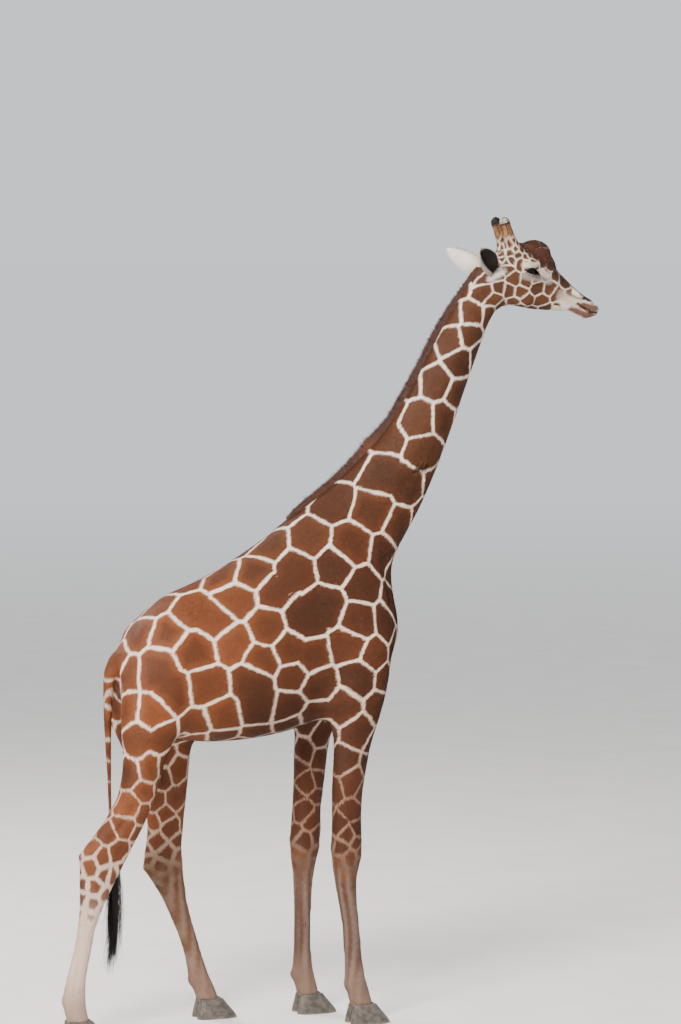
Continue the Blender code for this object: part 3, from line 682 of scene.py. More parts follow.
# Painted areas: line, radius, colour, share on the patches and on the lines; both sides alike,
# but for lines that start on the right (negative second number).
PAINTED = (
    # bump and ridge of the nose
    (((1.22, 0.02, 4.61), (1.30, 0.04, 4.60), (1.36, 0.03, 4.55), (1.40, 0.02, 4.50)), 0.070,
     DARK_NOSE, 1, 1),
    (((1.25, 0.06, 4.555), (1.31, 0.06, 4.53), (1.36, 0.05, 4.49)), 0.034, DARK_NOSE, 1, 1),
    # pale side of the muzzle with grey round the nostril, orange-brown lips and chin
    (((1.46, 0.06, 4.310), (1.53, 0.06, 4.280), (1.60, 0.055, 4.262)), 0.034, MUZZLE_PALE, 0.9, 0.7),
    (((1.50, 0.06, 4.325), (1.55, 0.06, 4.300), (1.59, 0.058, 4.290)), 0.009, FACE_BROWN, 0.8, 0.6),
    (((1.60, 0.04, 4.305), (1.66, 0.05, 4.27)), 0.020, GREY, 0.95, 0.8),
    (((1.60, 0.06, 4.25), (1.64, 0.06, 4.24), (1.68, 0.05, 4.23), (1.72, 0, 4.23)), 0.020, LIP, 0.95, 0.95),
    (((1.54, 0.04, 4.22), (1.64, 0.04, 4.19), (1.70, 0, 4.19)), 0.026, LIP, 0.95, 0.95),
    (MOUTH_LINE, 0.013, LIP, 0.9, 0.9),
    (((1.72, 0, 4.235), (1.725, 0, 4.215)), 0.026, LIP, 0.9, 0.9),
    (((1.42, 0, 4.52), (1.52, 0.01, 4.39), (1.62, 0.02, 4.31)), 0.024, DARK_NOSE, 1, 1),
    (((1.43, 0.045, 4.440), (1.47, 0.048, 4.405), (1.52, 0.045, 4.366)), 0.026, DARK_NOSE, 1, 0.5),
    # black in the nostril slit and along the mouth line: painted shade in the openings
    (NOSTRIL_LINE, 0.013, BLACK, 1, 1),
    (MOUTH_LINE, 0.0060, BLACK, 0.9, 0.9),
    # pale ground behind the eye and round the ear, grey skin before and below the eye
    (((0.99, 0.10, 4.415), (1.04, 0.11, 4.44), (1.07, 0.12, 4.465)), 0.027, WHITE, 1, 0.6),
    (((1.03, 0.10, 4.50), (1.06, 0.11, 4.49)), 0.034, GREY, 0.9, 0.5),
    (((1.21, 0.125, 4.428), (1.26, 0.115, 4.418), (1.32, 0.105, 4.42), (1.37, 0.085, 4.40)), 0.026,
     GREY, 0.9, 0.6),
    (((1.32, 0.10, 4.455), (1.36, 0.08, 4.43)), 0.022, LID_PALE, 0.9, 0.8),
    # lids: pale above, black rims, dark corner and tear line
    (((1.195, 0.13, 4.492), (1.235, 0.135, 4.500), (1.275, 0.13, 4.490)), 0.019, LID_PALE, 1, 0.95),
    (((1.205, 0.13, 4.460), (1.225, 0.135, 4.472), (1.250, 0.135, 4.473), (1.278, 0.13, 4.458)), 0.0062,
     BLACK, 1, 1),
    (((1.205, 0.13, 4.460), (1.225, 0.135, 4.449), (1.250, 0.135, 4.446), (1.278, 0.13, 4.456)), 0.0070,
     BLACK, 1, 1),
    (((1.272, 0.13, 4.455), (1.300, 0.12, 4.447)), 0.0055, BLACK, 0.9, 0.9),
    (((1.212, 0.13, 4.458), (1.190, 0.13, 4.462)), 0.0055, BLACK, 0.9, 0.9),
    # old scar low on the right of the neck: chestnut round it, and black along its groove as painted shade
    (((0.50, -0.14, 3.27), (0.64, -0.10, 3.33)), 0.026, CHESTNUT, 0.9, 0.9),
    (laid_on_hide(SCAR), 0.010, BLACK, 0.8, 0.9),
    # shade in the armpit, sheath
    (((-0.14, 0.30, 1.86), (-0.12, 0.27, 1.79)), 0.040, HORN_BROWN, 0.7, 0.5),
    (((-0.58, 0, 1.69), (-0.70, 0, 1.66)), 0.090, SHEATH, 0.9, 0.8),
)


SPECKS = rng.normal(0, 1, (3, 4)) * 330.0


def tones(place):
    """Colour of the patches, colour of the lines and half width of the lines, for points."""
    head, neck, leg, rump, horn = zones(place)
    x, y, z = place.T
    hind = ramp(x, -0.40, -0.60)
    patch = blend(all_over(TRUNK_BROWN, place), CHESTNUT, neck)
    # the rump is lighter: partly its own tone, partly painted sunlight
    patch = blend(patch, RUMP_BROWN_SUNLIT, 0.9 * rump)
    patch = blend(patch, blend(all_over(FORE_BROWN, place), HIND_BROWN, hind), leg)
    patch = blend(patch, FACE_BROWN, head)
    line = blend(all_over(CREAM, place), WHITE, 0.4 * neck)
    line = blend(line, HEAD_PALE, head)
    # lower barrel and chest: darker patches and browner lines, partly their own tone and partly painted
    # shade under the body
    underside_dark_and_shade = ramp(z, 2.25, 1.80) * ramp(x, -0.85, -0.45) * (1 - leg)
    patch = blend(patch, FORE_BROWN, 0.7 * underside_dark_and_shade)
    line = blend(line, FORE_LINE, 0.35 * underside_dark_and_shade)
    width = 0.0090 - 0.0045 * head + 0.001 * rump
    # below knee and hock the patches pale to smudges and are gone above the fetlock
    speckle = np.sin(place @ SPECKS + (0.5, 2.0, 4.0, 5.5)).sum(axis=1)
    # right hind cannon pale, left hind cannon dark: partly their own tone, partly painted sunlight on the
    # right leg and painted shade on the left
    hind_cannon = np.where(y[:, None] < 0, HIND_CANNON, FAR_CANNON_SHADED)
    cannon = np.where(x[:, None] < BETWEEN_LEGS, hind_cannon, FORE_CANNON)
    line = blend(line, blend(all_over(FORE_LINE, place), HIND_LINE, hind), ramp(z, 1.78, 1.40))
    line = blend(line, cannon, ramp(z, 1.20, 0.85))
    patch = blend(patch, SMUDGE, ramp(z, 1.15, 0.90))
    patch = blend(patch, cannon * 0.85, ramp(z, 0.90, 0.55))
    width = width - 0.003 * ramp(z, 1.70, 1.45) + 0.008 * ramp(z, 1.20, 0.95) + 0.03 * ramp(z, 0.85, 0.50)
    muzzle = ramp(x - 1.1 * (z - 4.30), 1.46, 1.55) * head
    width = width + 0.05 * muzzle
    # ossicones: small spots on the lower half, brown streaks above, black or bald at the tip
    up, turn = horn_place(place)
    streak = np.sin(turn * 9.0 + 2.0 * np.sin(turn * 4.0) + up * 3.0) * 0.5 + 0.5
    streaked = blend(all_over(HORN_TAN, place), HORN_BROWN, streak ** 1.3)
    upper = ramp(up, 0.42, 0.58)
    patch = blend(patch, streaked, upper)
    line = blend(line, streaked, upper)
    line = blend(line, HORN_TAN, 0.5 * horn * (1 - upper))
    width = np.where(horn > 0.01, 0.0055, width)
    for run, radius, colour, on_patch, on_line in PAINTED:
        near = near_line(place, run, radius, run[0][1] >= 0)
        share = np.clip(near * (2.2 + min(radius * 9, 0.35) * speckle) - 0.35, 0, 1)
        patch = blend(patch, colour, on_patch * share)
        line = blend(line, colour, on_line * share)
    tip = ramp(up, 0.76, 0.86)
    patch = blend(patch, BLACK, tip)
    line = blend(line, BLACK, tip)
    # tail: the lines between its bars are browner
    tail = ramp(z, tail_high.z - 0.05, tail_high.z - 0.20) * (x < tail_high.x) * (np.abs(y) < 0.05)
    tail = tail * (z > tail_low.z - 0.05) * (x < -1.30)
    line = blend(line, HIND_BROWN * 0.8, 0.45 * tail)
    # pale streaks down the cannons, paler fetlocks, dust and soil low down
    streak = np.sin(x * 95 + np.abs(y) * 120 + 1.5 * np.sin(z * 9) + 0.3 * speckle) * 0.5 + 0.5
    streak = 0.45 * streak * ramp(z, 1.05, 0.80) + 0.18 * ramp(z, 0.45, 0.28)
    streak = streak * (1 - 0.75 * (y < 0) * hind)
    patch = blend(patch, CANNON_PALE, streak)
    line = blend(line, CANNON_PALE, streak)
    dust = ramp(z, 0.42, 0.16)
    patch = blend(patch, DUST, 0.6 * dust)
    line = blend(line, DUST, 0.6 * dust)
    return patch, line, width


vertex_place = points_of(hide.data)
vertex_warp = warped(vertex_place)
trio = nearest_spots(vertex_warp[index].mean(axis=1))
values = np.stack([edge_values(vertex_warp[index[:, k]], trio) for k in range(3)], axis=1)
patch_tone, line_tone, line_width = tones(vertex_place)


def attribute(data, name, kind, domain, value):
    """Write values onto a mesh, where its material can read them."""
    value = np.ascontiguousarray(value, dtype=np.float32)
    layer = data.attributes.new(name, kind, domain)
    layer.data.foreach_set({"FLOAT": "value", "FLOAT_VECTOR": "vector"}.get(kind, "color"), value.ravel())
    return layer


def with_alpha(colour, alpha=1.0):
    return np.column_stack((colour, np.broadcast_to(alpha, len(colour))))


attribute(hide.data, "borders", "FLOAT_VECTOR", "CORNER", values)
attribute(hide.data, "patch_tone", "FLOAT_COLOR", "POINT", with_alpha(patch_tone))
attribute(hide.data, "line_tone", "FLOAT_COLOR", "POINT", with_alpha(line_tone))
attribute(hide.data, "line_width", "FLOAT", "POINT", line_width)
attribute(hide.data, "patch_luck", "FLOAT_VECTOR", "FACE",
          np.column_stack((spot_luck[trio[:, 0]], np.zeros(len(trio)))))

# ---- Hide's finish -------------------------------------------------------------------------
# Short flat hair over a moulded skin: chestnut patches with ragged edges, each lighter or darker
# than the next and with a darker heart, and a fine grain as relief.


def make_group(name, inputs, outputs):
    group = bpy.data.node_groups.new(name, "ShaderNodeTree")
    for label, kind, value in inputs:
        socket = group.interface.new_socket(label, in_out="INPUT", socket_type=kind)
        socket.default_value = value
    for label, kind in outputs:
        group.interface.new_socket(label, in_out="OUTPUT", socket_type=kind)
    entry = group.nodes.new("NodeGroupInput")
    leave = group.nodes.new("NodeGroupOutput")
    return group, entry, leave


def node(tree, kind, links=(), **values):
    """A node with its properties or socket defaults set and its inputs linked."""
    made = tree.nodes.new(kind)
    for key, value in values.items():
        if key.startswith("in_"):
            made.inputs[int(key[3:])].default_value = value
        else:
            setattr(made, key, value)
    for position, source in links:
        tree.links.new(source, made.inputs[position])
    return made


def maths(tree, operation, *inputs):
    made = tree.nodes.new("ShaderNodeMath")
    made.operation = operation
    for position, value in enumerate(inputs):
        if isinstance(value, (int, float)):
            made.inputs[position].default_value = value
        else:
            tree.links.new(value, made.inputs[position])
    return made.outputs[0]


def mixed(tree, share, first, second, mode="MIX"):
    made = tree.nodes.new("ShaderNodeMix")
    made.data_type = "RGBA"
    made.blend_type = mode
    for socket, value in ((made.inputs[0], share), (made.inputs[6], first), (made.inputs[7], second)):
        if isinstance(value, (int, float)):
            socket.default_value = value
        elif isinstance(value, tuple):
            socket.default_value = (*value, 1)
        else:
            tree.links.new(value, socket)
    return made.outputs[2]


def spread(tree, value, low, high, to_low=0.0, to_high=1.0):
    made = tree.nodes.new("ShaderNodeMapRange")
    made.interpolation_type = "SMOOTHSTEP"
    for position, number in enumerate((value, low, high, to_low, to_high)):
        if isinstance(number, (int, float)):
            made.inputs[position].default_value = number
        else:
            tree.links.new(number, made.inputs[position])
    return made.outputs[0]


def grain(tree, coordinate, scale, detail=2.0, roughness=0.5):
    made = node(tree, "ShaderNodeTexNoise", ((0, coordinate),))
    made.inputs["Scale"].default_value = scale
    made.inputs["Detail"].default_value = detail
    made.inputs["Roughness"].default_value = roughness
    return made.outputs[0]


def new_material(name):
    """A material with its tree, its shader and the place on the object."""
    material = bpy.data.materials.new(name)
    material.use_nodes = True
    tree = material.node_tree
    coordinate = tree.nodes.new("ShaderNodeTexCoord").outputs["Object"]
    return material, tree, tree.nodes["Principled BSDF"], coordinate


def painted_tone(tree, name, output="Color"):
    return node(tree, "ShaderNodeAttribute", attribute_name=name).outputs[output]


def roughen(tree, shader, coordinate, scale, low, high):
    """Uneven roughness between two values."""
    uneven = spread(tree, grain(tree, coordinate, scale), 0.3, 0.7, low, high)
    tree.links.new(uneven, shader.inputs["Roughness"])


def emboss(tree, shader, height, strength, depth):
    """Fine relief from a height that changes over the surface."""
    relief = node(tree, "ShaderNodeBump", in_0=strength, in_1=depth)
    tree.links.new(height, relief.inputs["Height"])
    tree.links.new(relief.outputs[0], shader.inputs["Normal"])


def coated_with(thing, finish):
    """Give a piece one material."""
    thing.data.materials.clear()
    thing.data.materials.append(finish)


def unwrap(thing, margin):
    """Unwrap a piece by its own shape, for the baked finish."""
    bpy.ops.object.select_all(action="DESELECT")
    bpy.context.view_layer.objects.active = thing
    thing.select_set(True)
    bpy.ops.object.mode_set(mode="EDIT")
    bpy.ops.mesh.select_all(action="SELECT")
    bpy.ops.uv.smart_project(angle_limit=1.15, island_margin=margin)
    bpy.ops.object.mode_set(mode="OBJECT")
    thing.data.uv_layers[0].name = "OFBake"


def corner_uv(data):
    uv = np.empty(len(data.loops) * 2)
    data.uv_layers[0].data.foreach_get("uv", uv)
    return uv.reshape(-1, 3, 2)


# Fine mottling shared by hide, horn and bare skin: a mask that varies over the surface.
mottle_group, entry, leave = make_group(
    "mottle", (("Place", "NodeSocketVector", (0, 0, 0)), ("Scale", "NodeSocketFloat", 10.0)),
    (("Mask", "NodeSocketFloat"),))
noise_node = node(mottle_group, "ShaderNodeTexNoise", ((0, entry.outputs[0]), (2, entry.outputs[1])))
noise_node.inputs["Detail"].default_value = 4.0
mottle_group.links.new(spread(mottle_group, noise_node.outputs[0], 0.3, 0.7), leave.inputs[0])


def mottle(tree, coordinate, scale):
    made = tree.nodes.new("ShaderNodeGroup")
    made.node_tree = mottle_group
    tree.links.new(coordinate, made.inputs[0])
    made.inputs[1].default_value = scale
    return made.outputs[0]


hide_finish, tree, shader, coordinate = new_material("giraffe_hide")
ab, ac, bc = node(tree, "ShaderNodeSeparateXYZ", ((0, painted_tone(tree, "borders", "Vector")),)).outputs
minus_ab = maths(tree, "MULTIPLY", ab, -1.0)
inner = maths(tree, "MAXIMUM", maths(tree, "MINIMUM", ab, ac), maths(tree, "MINIMUM", minus_ab, bc))
minus_far = maths(tree, "MULTIPLY", maths(tree, "MAXIMUM", ac, bc), -1.0)
ragged = maths(tree, "MULTIPLY_ADD", grain(tree, coordinate, 120.0, 3.0), 0.010, -0.005)
edge = maths(tree, "ADD", maths(tree, "MAXIMUM", inner, minus_far), ragged)
width = painted_tone(tree, "line_width", "Fac")
on_patch = spread(tree, maths(tree, "SUBTRACT", edge, width), -EDGE_SOFT, EDGE_SOFT)
luck = painted_tone(tree, "patch_luck", "Vector")
light_luck, heart_luck, _ = node(tree, "ShaderNodeSeparateXYZ", ((0, luck),)).outputs
brighter = maths(tree, "MULTIPLY_ADD", light_luck, LIGHT_SPAN, LIGHT_FROM)
patch_colour = mixed(tree, 1.0, painted_tone(tree, "patch_tone"), brighter, "MULTIPLY")
heart = maths(tree, "MULTIPLY", spread(tree, edge, HEART_FROM, HEART_TO),
              maths(tree, "MULTIPLY_ADD", heart_luck, HEART_SPAN, HEART_LEAST))
patch_colour = mixed(tree, heart, patch_colour, tuple(HEART_TONE))
colour = mixed(tree, on_patch, painted_tone(tree, "line_tone"), patch_colour)
spotting = maths(tree, "MULTIPLY", mottle(tree, coordinate, 60.0), 0.14)
tree.links.new(mixed(tree, spotting, colour, tuple(CHESTNUT * 0.6)), shader.inputs["Base Color"])
roughen(tree, shader, coordinate, 35.0, 0.55, 0.75)
emboss(tree, shader, grain(tree, coordinate, 420.0, 4.0, 0.6), 0.35, 0.002)
shader.inputs["Specular IOR Level"].default_value = 0.3
coated_with(hide, hide_finish)
unwrap(hide, 0.001)
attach(hide, "root")
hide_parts(*BODY_NODES, *TRIM_NODES)

# ---- Coat ----------------------------------------------------------------------------------
# Short flat hair in thin overlapping tufts, laid along the body: down the neck and legs, back
# over the trunk, from the muzzle up the face. Each tuft takes the marking under its root.
HAIR_LONG, HAIR_RISE, HAIR_WIDE = 0.0165, 0.0046, 0.0030
RAGGED = 0.0022
STRAYS = 0.03
LEG_TOP = 1.45
SHOULDER_END = -0.17
BARREL_END = -0.72
HOOF_TOP = 0.100
face_uv = corner_uv(hide.data)
HIDE_SURFACE = (corner, normals_of(hide.data)[index], face_uv, area)


def coat_material(name, roughness):
    """Hair: it takes its colour strand by strand, and is finely mottled."""
    material, tree, shader, coordinate = new_material(name)
    speckle = maths(tree, "MULTIPLY", mottle(tree, coordinate, 90.0), 0.16)
    colour = mixed(tree, speckle, painted_tone(tree, "tone"), tuple(CHESTNUT * 0.4))
    tree.links.new(colour, shader.inputs["Base Color"])
    roughen(tree, shader, coordinate, 50.0, roughness - 0.08, roughness + 0.08)
    shader.inputs["Specular IOR Level"].default_value = 0.25
    return material


coat_finish = coat_material("coat_hair", 0.62)


def unit(vector):
    return vector / np.maximum(np.linalg.norm(vector, axis=-1, keepdims=True), 1e-9)


def lie(place, normal):
    """Direction in which the hair lies."""
    head, neck, leg, _, horn = zones(place)
    flow = all_over((-1.0, 0, -0.38), place)
    flow = blend(flow, (-0.50, 0, -0.87), neck)
    flow = blend(flow, (0, 0, -1.0), np.maximum(leg, ramp(place[:, 0], -1.15, -1.30)))
    flow = blend(flow, (-0.94, 0, 0.20), head)
    flow = blend(flow, (-0.1, 0, 1.0), horn)
    flow = flow - normal * (flow * normal).sum(axis=1)[:, None]
    return unit(flow)


def ribbons(name, path, side, width, shade, colour, uv, finish, bluntness=1.6):
    """One mesh of thin pointed ribbons; path is (count, joints, 3), colour likewise."""
    count, joints = path.shape[:2]
    steps = np.linspace(0, 1, joints)
    taper = (1 - steps ** bluntness)[None, :, None]
    facing_out = (np.cross(path[:, -1] - path[:, 0], side) * shade).sum(axis=1)
    side = side * np.where(facing_out < 0, -1.0, 1.0)[:, None]
    offset = side[:, None, :] * (width[:, None, None] / 2) * taper
    pairs = np.stack((path[:, :-1] - offset[:, :-1], path[:, :-1] + offset[:, :-1]), axis=2)
    place = np.concatenate((pairs.reshape(count, -1, 3), path[:, -1:]), axis=1)
    tone = np.concatenate((np.repeat(colour[:, :-1], 2, axis=1), colour[:, -1:]), axis=1)
    patch = np.array([(sign * (1 - t), 2 * t - 1) for t in steps[:-1] for sign in (-1, 1)] + [(0, 1)])
    patch = uv[:, None, :] + 0.0015 * patch[None]
    per = 2 * joints - 1
    faces = [(per - 3, per - 1, per - 2)]
    for k in range(joints - 2):
        faces += [(2 * k, 2 * k + 3, 2 * k + 1), (2 * k, 2 * k + 2, 2 * k + 3)]
    face = (np.array(faces)[None] + (np.arange(count) * per)[:, None, None]).reshape(-1, 3)
    data = bpy.data.meshes.new(name)
    data.vertices.add(count * per)
    data.vertices.foreach_set("co", place.astype(np.float32).ravel())
    data.loops.add(face.size)
    data.loops.foreach_set("vertex_index", face.ravel().astype(np.int32))
    data.polygons.add(len(face))
    data.polygons.foreach_set("loop_start", np.arange(0, face.size, 3, dtype=np.int32))
    data.polygons.foreach_set("use_smooth", np.ones(len(face), dtype=bool))
    layer = data.uv_layers.new(name="OFBake")
    layer.data.foreach_set("uv", patch.reshape(-1, 2)[face.ravel()].astype(np.float32).ravel())
    rgba = np.ones((count * per, 4), dtype=np.float32)
    rgba[:, :3] = np.clip(tone.reshape(-1, 3), 0, 1)
    data.attributes.new("tone", "BYTE_COLOR", "POINT").data.foreach_set("color", rgba.ravel())
    data.update(calc_edges=True)
    data.normals_split_custom_set_from_vertices(np.repeat(shade, per, axis=0))
    data.materials.append(finish)
    thing = bpy.data.objects.new(name, data)
    scene.collection.objects.link(thing)
    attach(thing, "root")
    return thing


def rooted(surface, chosen, count):
    """Scatter roots over chosen faces of a surface: place, normal, unwrap place, face."""
    *corners, face_area = surface
    pick = rng.choice(chosen, count, p=face_area[chosen] / face_area[chosen].sum())
    mix = rng.dirichlet((1, 1, 1), count)
    place, normal, uv = (np.einsum("ij,ijk->ik", mix, value[pick]) for value in corners)
    return place, unit(normal), uv, pick


JAGS = rng.normal(0, 1, (3, 3)) * 420.0


def marking(place, face):
    """Colour of the marking at roots on given faces."""
    group = trio[face]
    values = edge_values(warped(place), group)
    ab, ac, bc = values.T
    owner = np.where((ab >= 0) & (ac >= 0), 0, np.where((ab < 0) & (bc >= 0), 1, 2))
    luck = spot_luck[group[np.arange(len(group)), owner]]
    patch, line, width = tones(place)
    jag = np.sin(place @ JAGS + (0.0, 1.7, 3.1)).sum(axis=1)
    edge = edge_distance(values) + jag * 0.0012 + rng.normal(0, RAGGED, len(place))
    on_patch = ramp(edge - width, -EDGE_SOFT, EDGE_SOFT)
    patch = patch * (LIGHT_FROM + LIGHT_SPAN * luck[:, :1])
    heart = ramp(edge, HEART_FROM, HEART_TO) * (HEART_LEAST + HEART_SPAN * luck[:, 1])
    patch = blend(patch, HEART_TONE, heart)
    return line + (patch - line) * on_patch[:, None]


def tufted(name, chosen, count):
    """A coat of flat tufts on chosen faces of the hide."""
    place, normal, uv, face = rooted(HIDE_SURFACE, chosen, count)
    head, neck, leg, _, _ = zones(place)
    muzzle = ramp(place[:, 0], 1.45, 1.58) * head
    length = HAIR_LONG - 0.001 * neck - 0.003 * leg - 0.007 * head - 0.003 * muzzle
    fringe = ramp(place[:, 2], 0.150, 0.120)
    length = (length + 0.014 * fringe) * rng.uniform(0.75, 1.25, count)
    rise = HAIR_RISE - 0.0010 * leg - 0.0020 * head - 0.0012 * muzzle
    rise = rise * rng.uniform(0.6, 1.15, count)
    stray = rng.uniform(0, 1, count) < STRAYS
    rise = np.where(stray & (head < 0.5), rise * 1.7, rise)
    width = HAIR_WIDE - 0.0006 * leg - 0.0013 * head - 0.0004 * muzzle
    width = width * rng.uniform(0.8, 1.2, count)
    along = lie(place, normal)
    side = np.cross(normal, along)
    along = unit(along + side * rng.normal(0, 0.14, count)[:, None])
    side = np.cross(normal, along)
    root = place - normal * 0.0008
    path = np.stack((root, root + along * length[:, None] + normal * rise[:, None]), axis=1)
    colour = marking(place, face) * rng.uniform(0.86, 1.14, count)[:, None]
    colour = np.stack((colour * 0.90, colour * 1.06), axis=1)
    shade = unit(normal * 0.92 - along * 0.12 + side * rng.normal(0, 0.10, count)[:, None])
    return ribbons(name, path, side, width, shade, colour, uv, coat_finish)


def bare(place):
    """True where no hair grows: the eye openings, nostrils, mouth line and the bald horn top."""
    hairless = np.zeros(len(place), dtype=bool)
    for side in (-1, 1):
        hairless |= np.linalg.norm(place - np.array(EYE[side]), axis=1) < BALL + 0.0012
    for line, radius in ((NOSTRIL_LINE, 0.006), (MOUTH_LINE, 0.004)):
        hairless |= near_line(place, line, radius) > 0.4
    return hairless | ((horn_place(place)[0] > 0.90) & (place[:, 1] < 0))


head_face, neck_face = zones(middle)[:2]
x, y, z = middle.T
tail_face = np.zeros(len(middle), dtype=bool)
round_tail = (x < tail_high.x + 0.02) & (np.abs(y) < 0.06) & (z > tail_low.z - 0.02) & (z < tail_high.z)
for i in np.nonzero(round_tail)[0]:
    tail_face[i] = tail_tree.find_nearest(middle[i])[3] < 0.009
hairy = ~bare(middle) & (z > HOOF_TOP) & ~tail_face
trunk_like = hairy & (head_face < 0.5) & (neck_face < 0.5) & (z >= LEG_TOP)
COATS = (
    ("coat_shoulder", "coat_body", trunk_like & (x > SHOULDER_END), 185_000),
    ("coat_barrel", "coat_body", trunk_like & (x <= SHOULDER_END) & (x > BARREL_END), 185_000),
    ("coat_rump", "coat_body", trunk_like & (x <= BARREL_END), 190_000),
    ("coat_neck", "coat_neck", hairy & (neck_face >= 0.5) & (head_face < 0.5), 190_000),
    ("coat_head", "coat_head", hairy & (head_face >= 0.5), 190_000),
    ("coat_forelegs", "coat_leg", hairy & (z < LEG_TOP) & (x > BETWEEN_LEGS), 130_000),
    ("coat_hindlegs", "coat_leg", hairy & (z < LEG_TOP) & (x <= BETWEEN_LEGS), 145_000),
    ("coat_tail", "coat_tail", tail_face, 20_000),
)
for name, slot_name, mask, count in COATS:
    coat = tufted(name, np.nonzero(mask)[0], count)

# ---- Mane ----------------------------------------------------------------------------------
# Short stiff upright hair along the crest of the neck, reddish brown, in close locks. Each strand
# reaches about as high as the mane's solid does over its root.
MANE_STRANDS = 30_000
MANE_SEARCH = 0.15
MANE_LEAST = 0.008
MANE_RED = linear(80, 38, 19)
MANE_DARK = linear(28, 14, 9)
mane_mesh = bmesh.new()
for name in ("mane_upper", "mane_lower"):
    mane_mesh.from_mesh(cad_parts[name].data)
mane_tree = bvhtree.BVHTree.FromBMesh(mane_mesh)
mane_mesh.free()
mane_finish = coat_material("mane_hair", 0.55)
crest = np.nonzero((np.abs(y) < 0.021) & (neck_face + head_face > 0.05) & (z > 2.95)
                   & (facing[:, 2] > 0.2) & (x < 0.96) & (x > -0.28))[0]
count = MANE_STRANDS
place, normal, uv, _ = rooted(HIDE_SURFACE, crest, count)
upright = unit(normal + np.column_stack((rng.normal(0.05, 0.10, count), rng.normal(0, 0.10, count),
                                         rng.normal(0.10, 0.08, count))))
height = np.zeros(count)
for i in range(count):
    start = Vector(place[i] + upright[i] * MANE_SEARCH)
    distance = mane_tree.ray_cast(start, Vector(-upright[i]), MANE_SEARCH)[3]
    height[i] = MANE_SEARCH - distance if distance else 0.0
kept = height > MANE_LEAST
place, normal, uv, upright, height = (value[kept] for value in (place, normal, uv, upright, height))
count = len(place)
reach = place[:, 0] * 0.5 + place[:, 2] * 0.87
lock = np.sin(reach * 420 + 2.5 * np.sin(reach * 97) + place[:, 1] * 160) * 0.5 + 0.5
tuft_here = np.exp(-((place[:, 0] - 0.25) / 0.05) ** 2)
height = (height + 0.003) * (0.80 + 0.22 * lock + 0.10 * tuft_here) * rng.uniform(0.66, 1.06, count)
height = np.where(rng.uniform(0, 1, count) < 0.07, height * 1.22 + 0.003, height)
turn = rng.uniform(0, 3.14, count)
cross = unit(np.cross(upright, (0.0, 1.0, 0.0)))
side = cross * np.cos(turn)[:, None] + np.cross(upright, cross) * np.sin(turn)[:, None]
back = unit(np.cross(np.cross(upright, (-0.5, 0, -0.87)), upright))
bend = rng.normal(0.10, 0.10, count)[:, None] * height[:, None]
steps = np.linspace(0, 1, 4)[None, :, None]
path = place[:, None] - normal[:, None] * 0.002 + upright[:, None] * height[:, None, None] * steps
path = path + back[:, None] * bend[:, None] * steps ** 2
tone = blend(all_over(MANE_RED, place), MANE_DARK, (1 - lock * 0.6) * rng.uniform(0.4, 1, count))
tone = blend(tone, MANE_RED * 1.25, 0.7 * tuft_here)
tone = tone[:, None] * np.array((0.70, 0.90, 1.05, 1.2))[None, :, None]
mane = ribbons("mane", path, side, rng.uniform(0.0022, 0.0038, count),
               unit(normal + np.outer(np.sign(place[:, 1]), (0, 0.8, 0)) + rng.normal(0, 0.2, (count, 3))),
               tone, uv, mane_finish, 2.5)
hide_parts("mane_upper", "mane_lower")

# ---- Tail tuft -----------------------------------------------------------------------------
# Long coarse black hair, wavy and straggling at the ends, hung on the tip of the tail. The locks
# follow the girth of the tuft's solid and part as they fall.
tuft_low, tuft_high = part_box("tail_tuft")
tuft_place = points_of(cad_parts["tail_tuft"].data)
tuft_finish = coat_material("tuft_hair", 0.42)
TUFT_BLACK = linear(16, 13, 12)
TUFT_BROWN = linear(56, 38, 28)


def tuft_girth(height):
    """Middle line and radius of the tuft's outline at a height."""
    levels = np.unique(np.round(tuft_place[:, 2], 3))
    rings = [tuft_place[np.abs(tuft_place[:, 2] - level) < 0.002] for level in levels]
    mid = [(ring[:, 0].max() + ring[:, 0].min()) / 2 for ring in rings]
    radius = [np.ptp(ring[:, 0]) / 2 for ring in rings]
    return np.interp(height, levels, mid), np.interp(height, levels, radius)


count = 1250
joints = 18
locks = 30
lock = rng.integers(0, locks, count)
lock_angle = rng.uniform(0, 6.283, locks)
lock_reach = np.sqrt(rng.uniform(0.0, 1, locks))
lock_end = np.sqrt(rng.uniform(0.10, 1, locks))
lock_wave = rng.normal(0, 1, (2, 3, locks))
top = rng.uniform(tuft_high.z - 0.03, tuft_high.z + 0.13, count)
top = np.where(rng.uniform(0, 1, count) < 0.30, rng.uniform(tuft_high.z - 0.30, tuft_high.z, count), top)
long = np.minimum(lock_end[lock] * rng.uniform(0.85, 1.0, count), 1)
tip = np.minimum(tuft_high.z - (tuft_high.z - tuft_low.z) * long, top - 0.10)
steps = np.linspace(0, 1, joints)
height = top[:, None] + (tip - top)[:, None] * steps
mid, girth = tuft_girth(np.minimum(height, tuft_high.z))
fall = np.clip((tuft_high.z - height) / (tuft_high.z - tuft_low.z), 0, 1)
own = rng.normal(0, 1, (2, count, 1))
radial = np.maximum(girth * 0.55 * lock_reach[lock][:, None], 0.007)
spread_out = []
for axis, turn in ((0, np.cos(lock_angle[lock])), (1, np.sin(lock_angle[lock]))):
    wave = sum(lock_wave[axis, k][lock][:, None] * np.sin(fall * (4.0 + 5.0 * k) + lock[:, None] * (k + 1.3))
               / (k + 1) for k in range(3))
    stray = own[axis] * (0.003 + 0.008 * fall + 0.012 * fall * np.sin(fall * 9.0 + own[axis] * 3.0))
    spread_out.append(turn[:, None] * radial + wave * 0.017 * fall ** 0.8 + stray)
path = np.stack((mid + spread_out[0], spread_out[1], height), axis=2)
angle = np.arctan2(spread_out[1][:, 8], spread_out[0][:, 8])
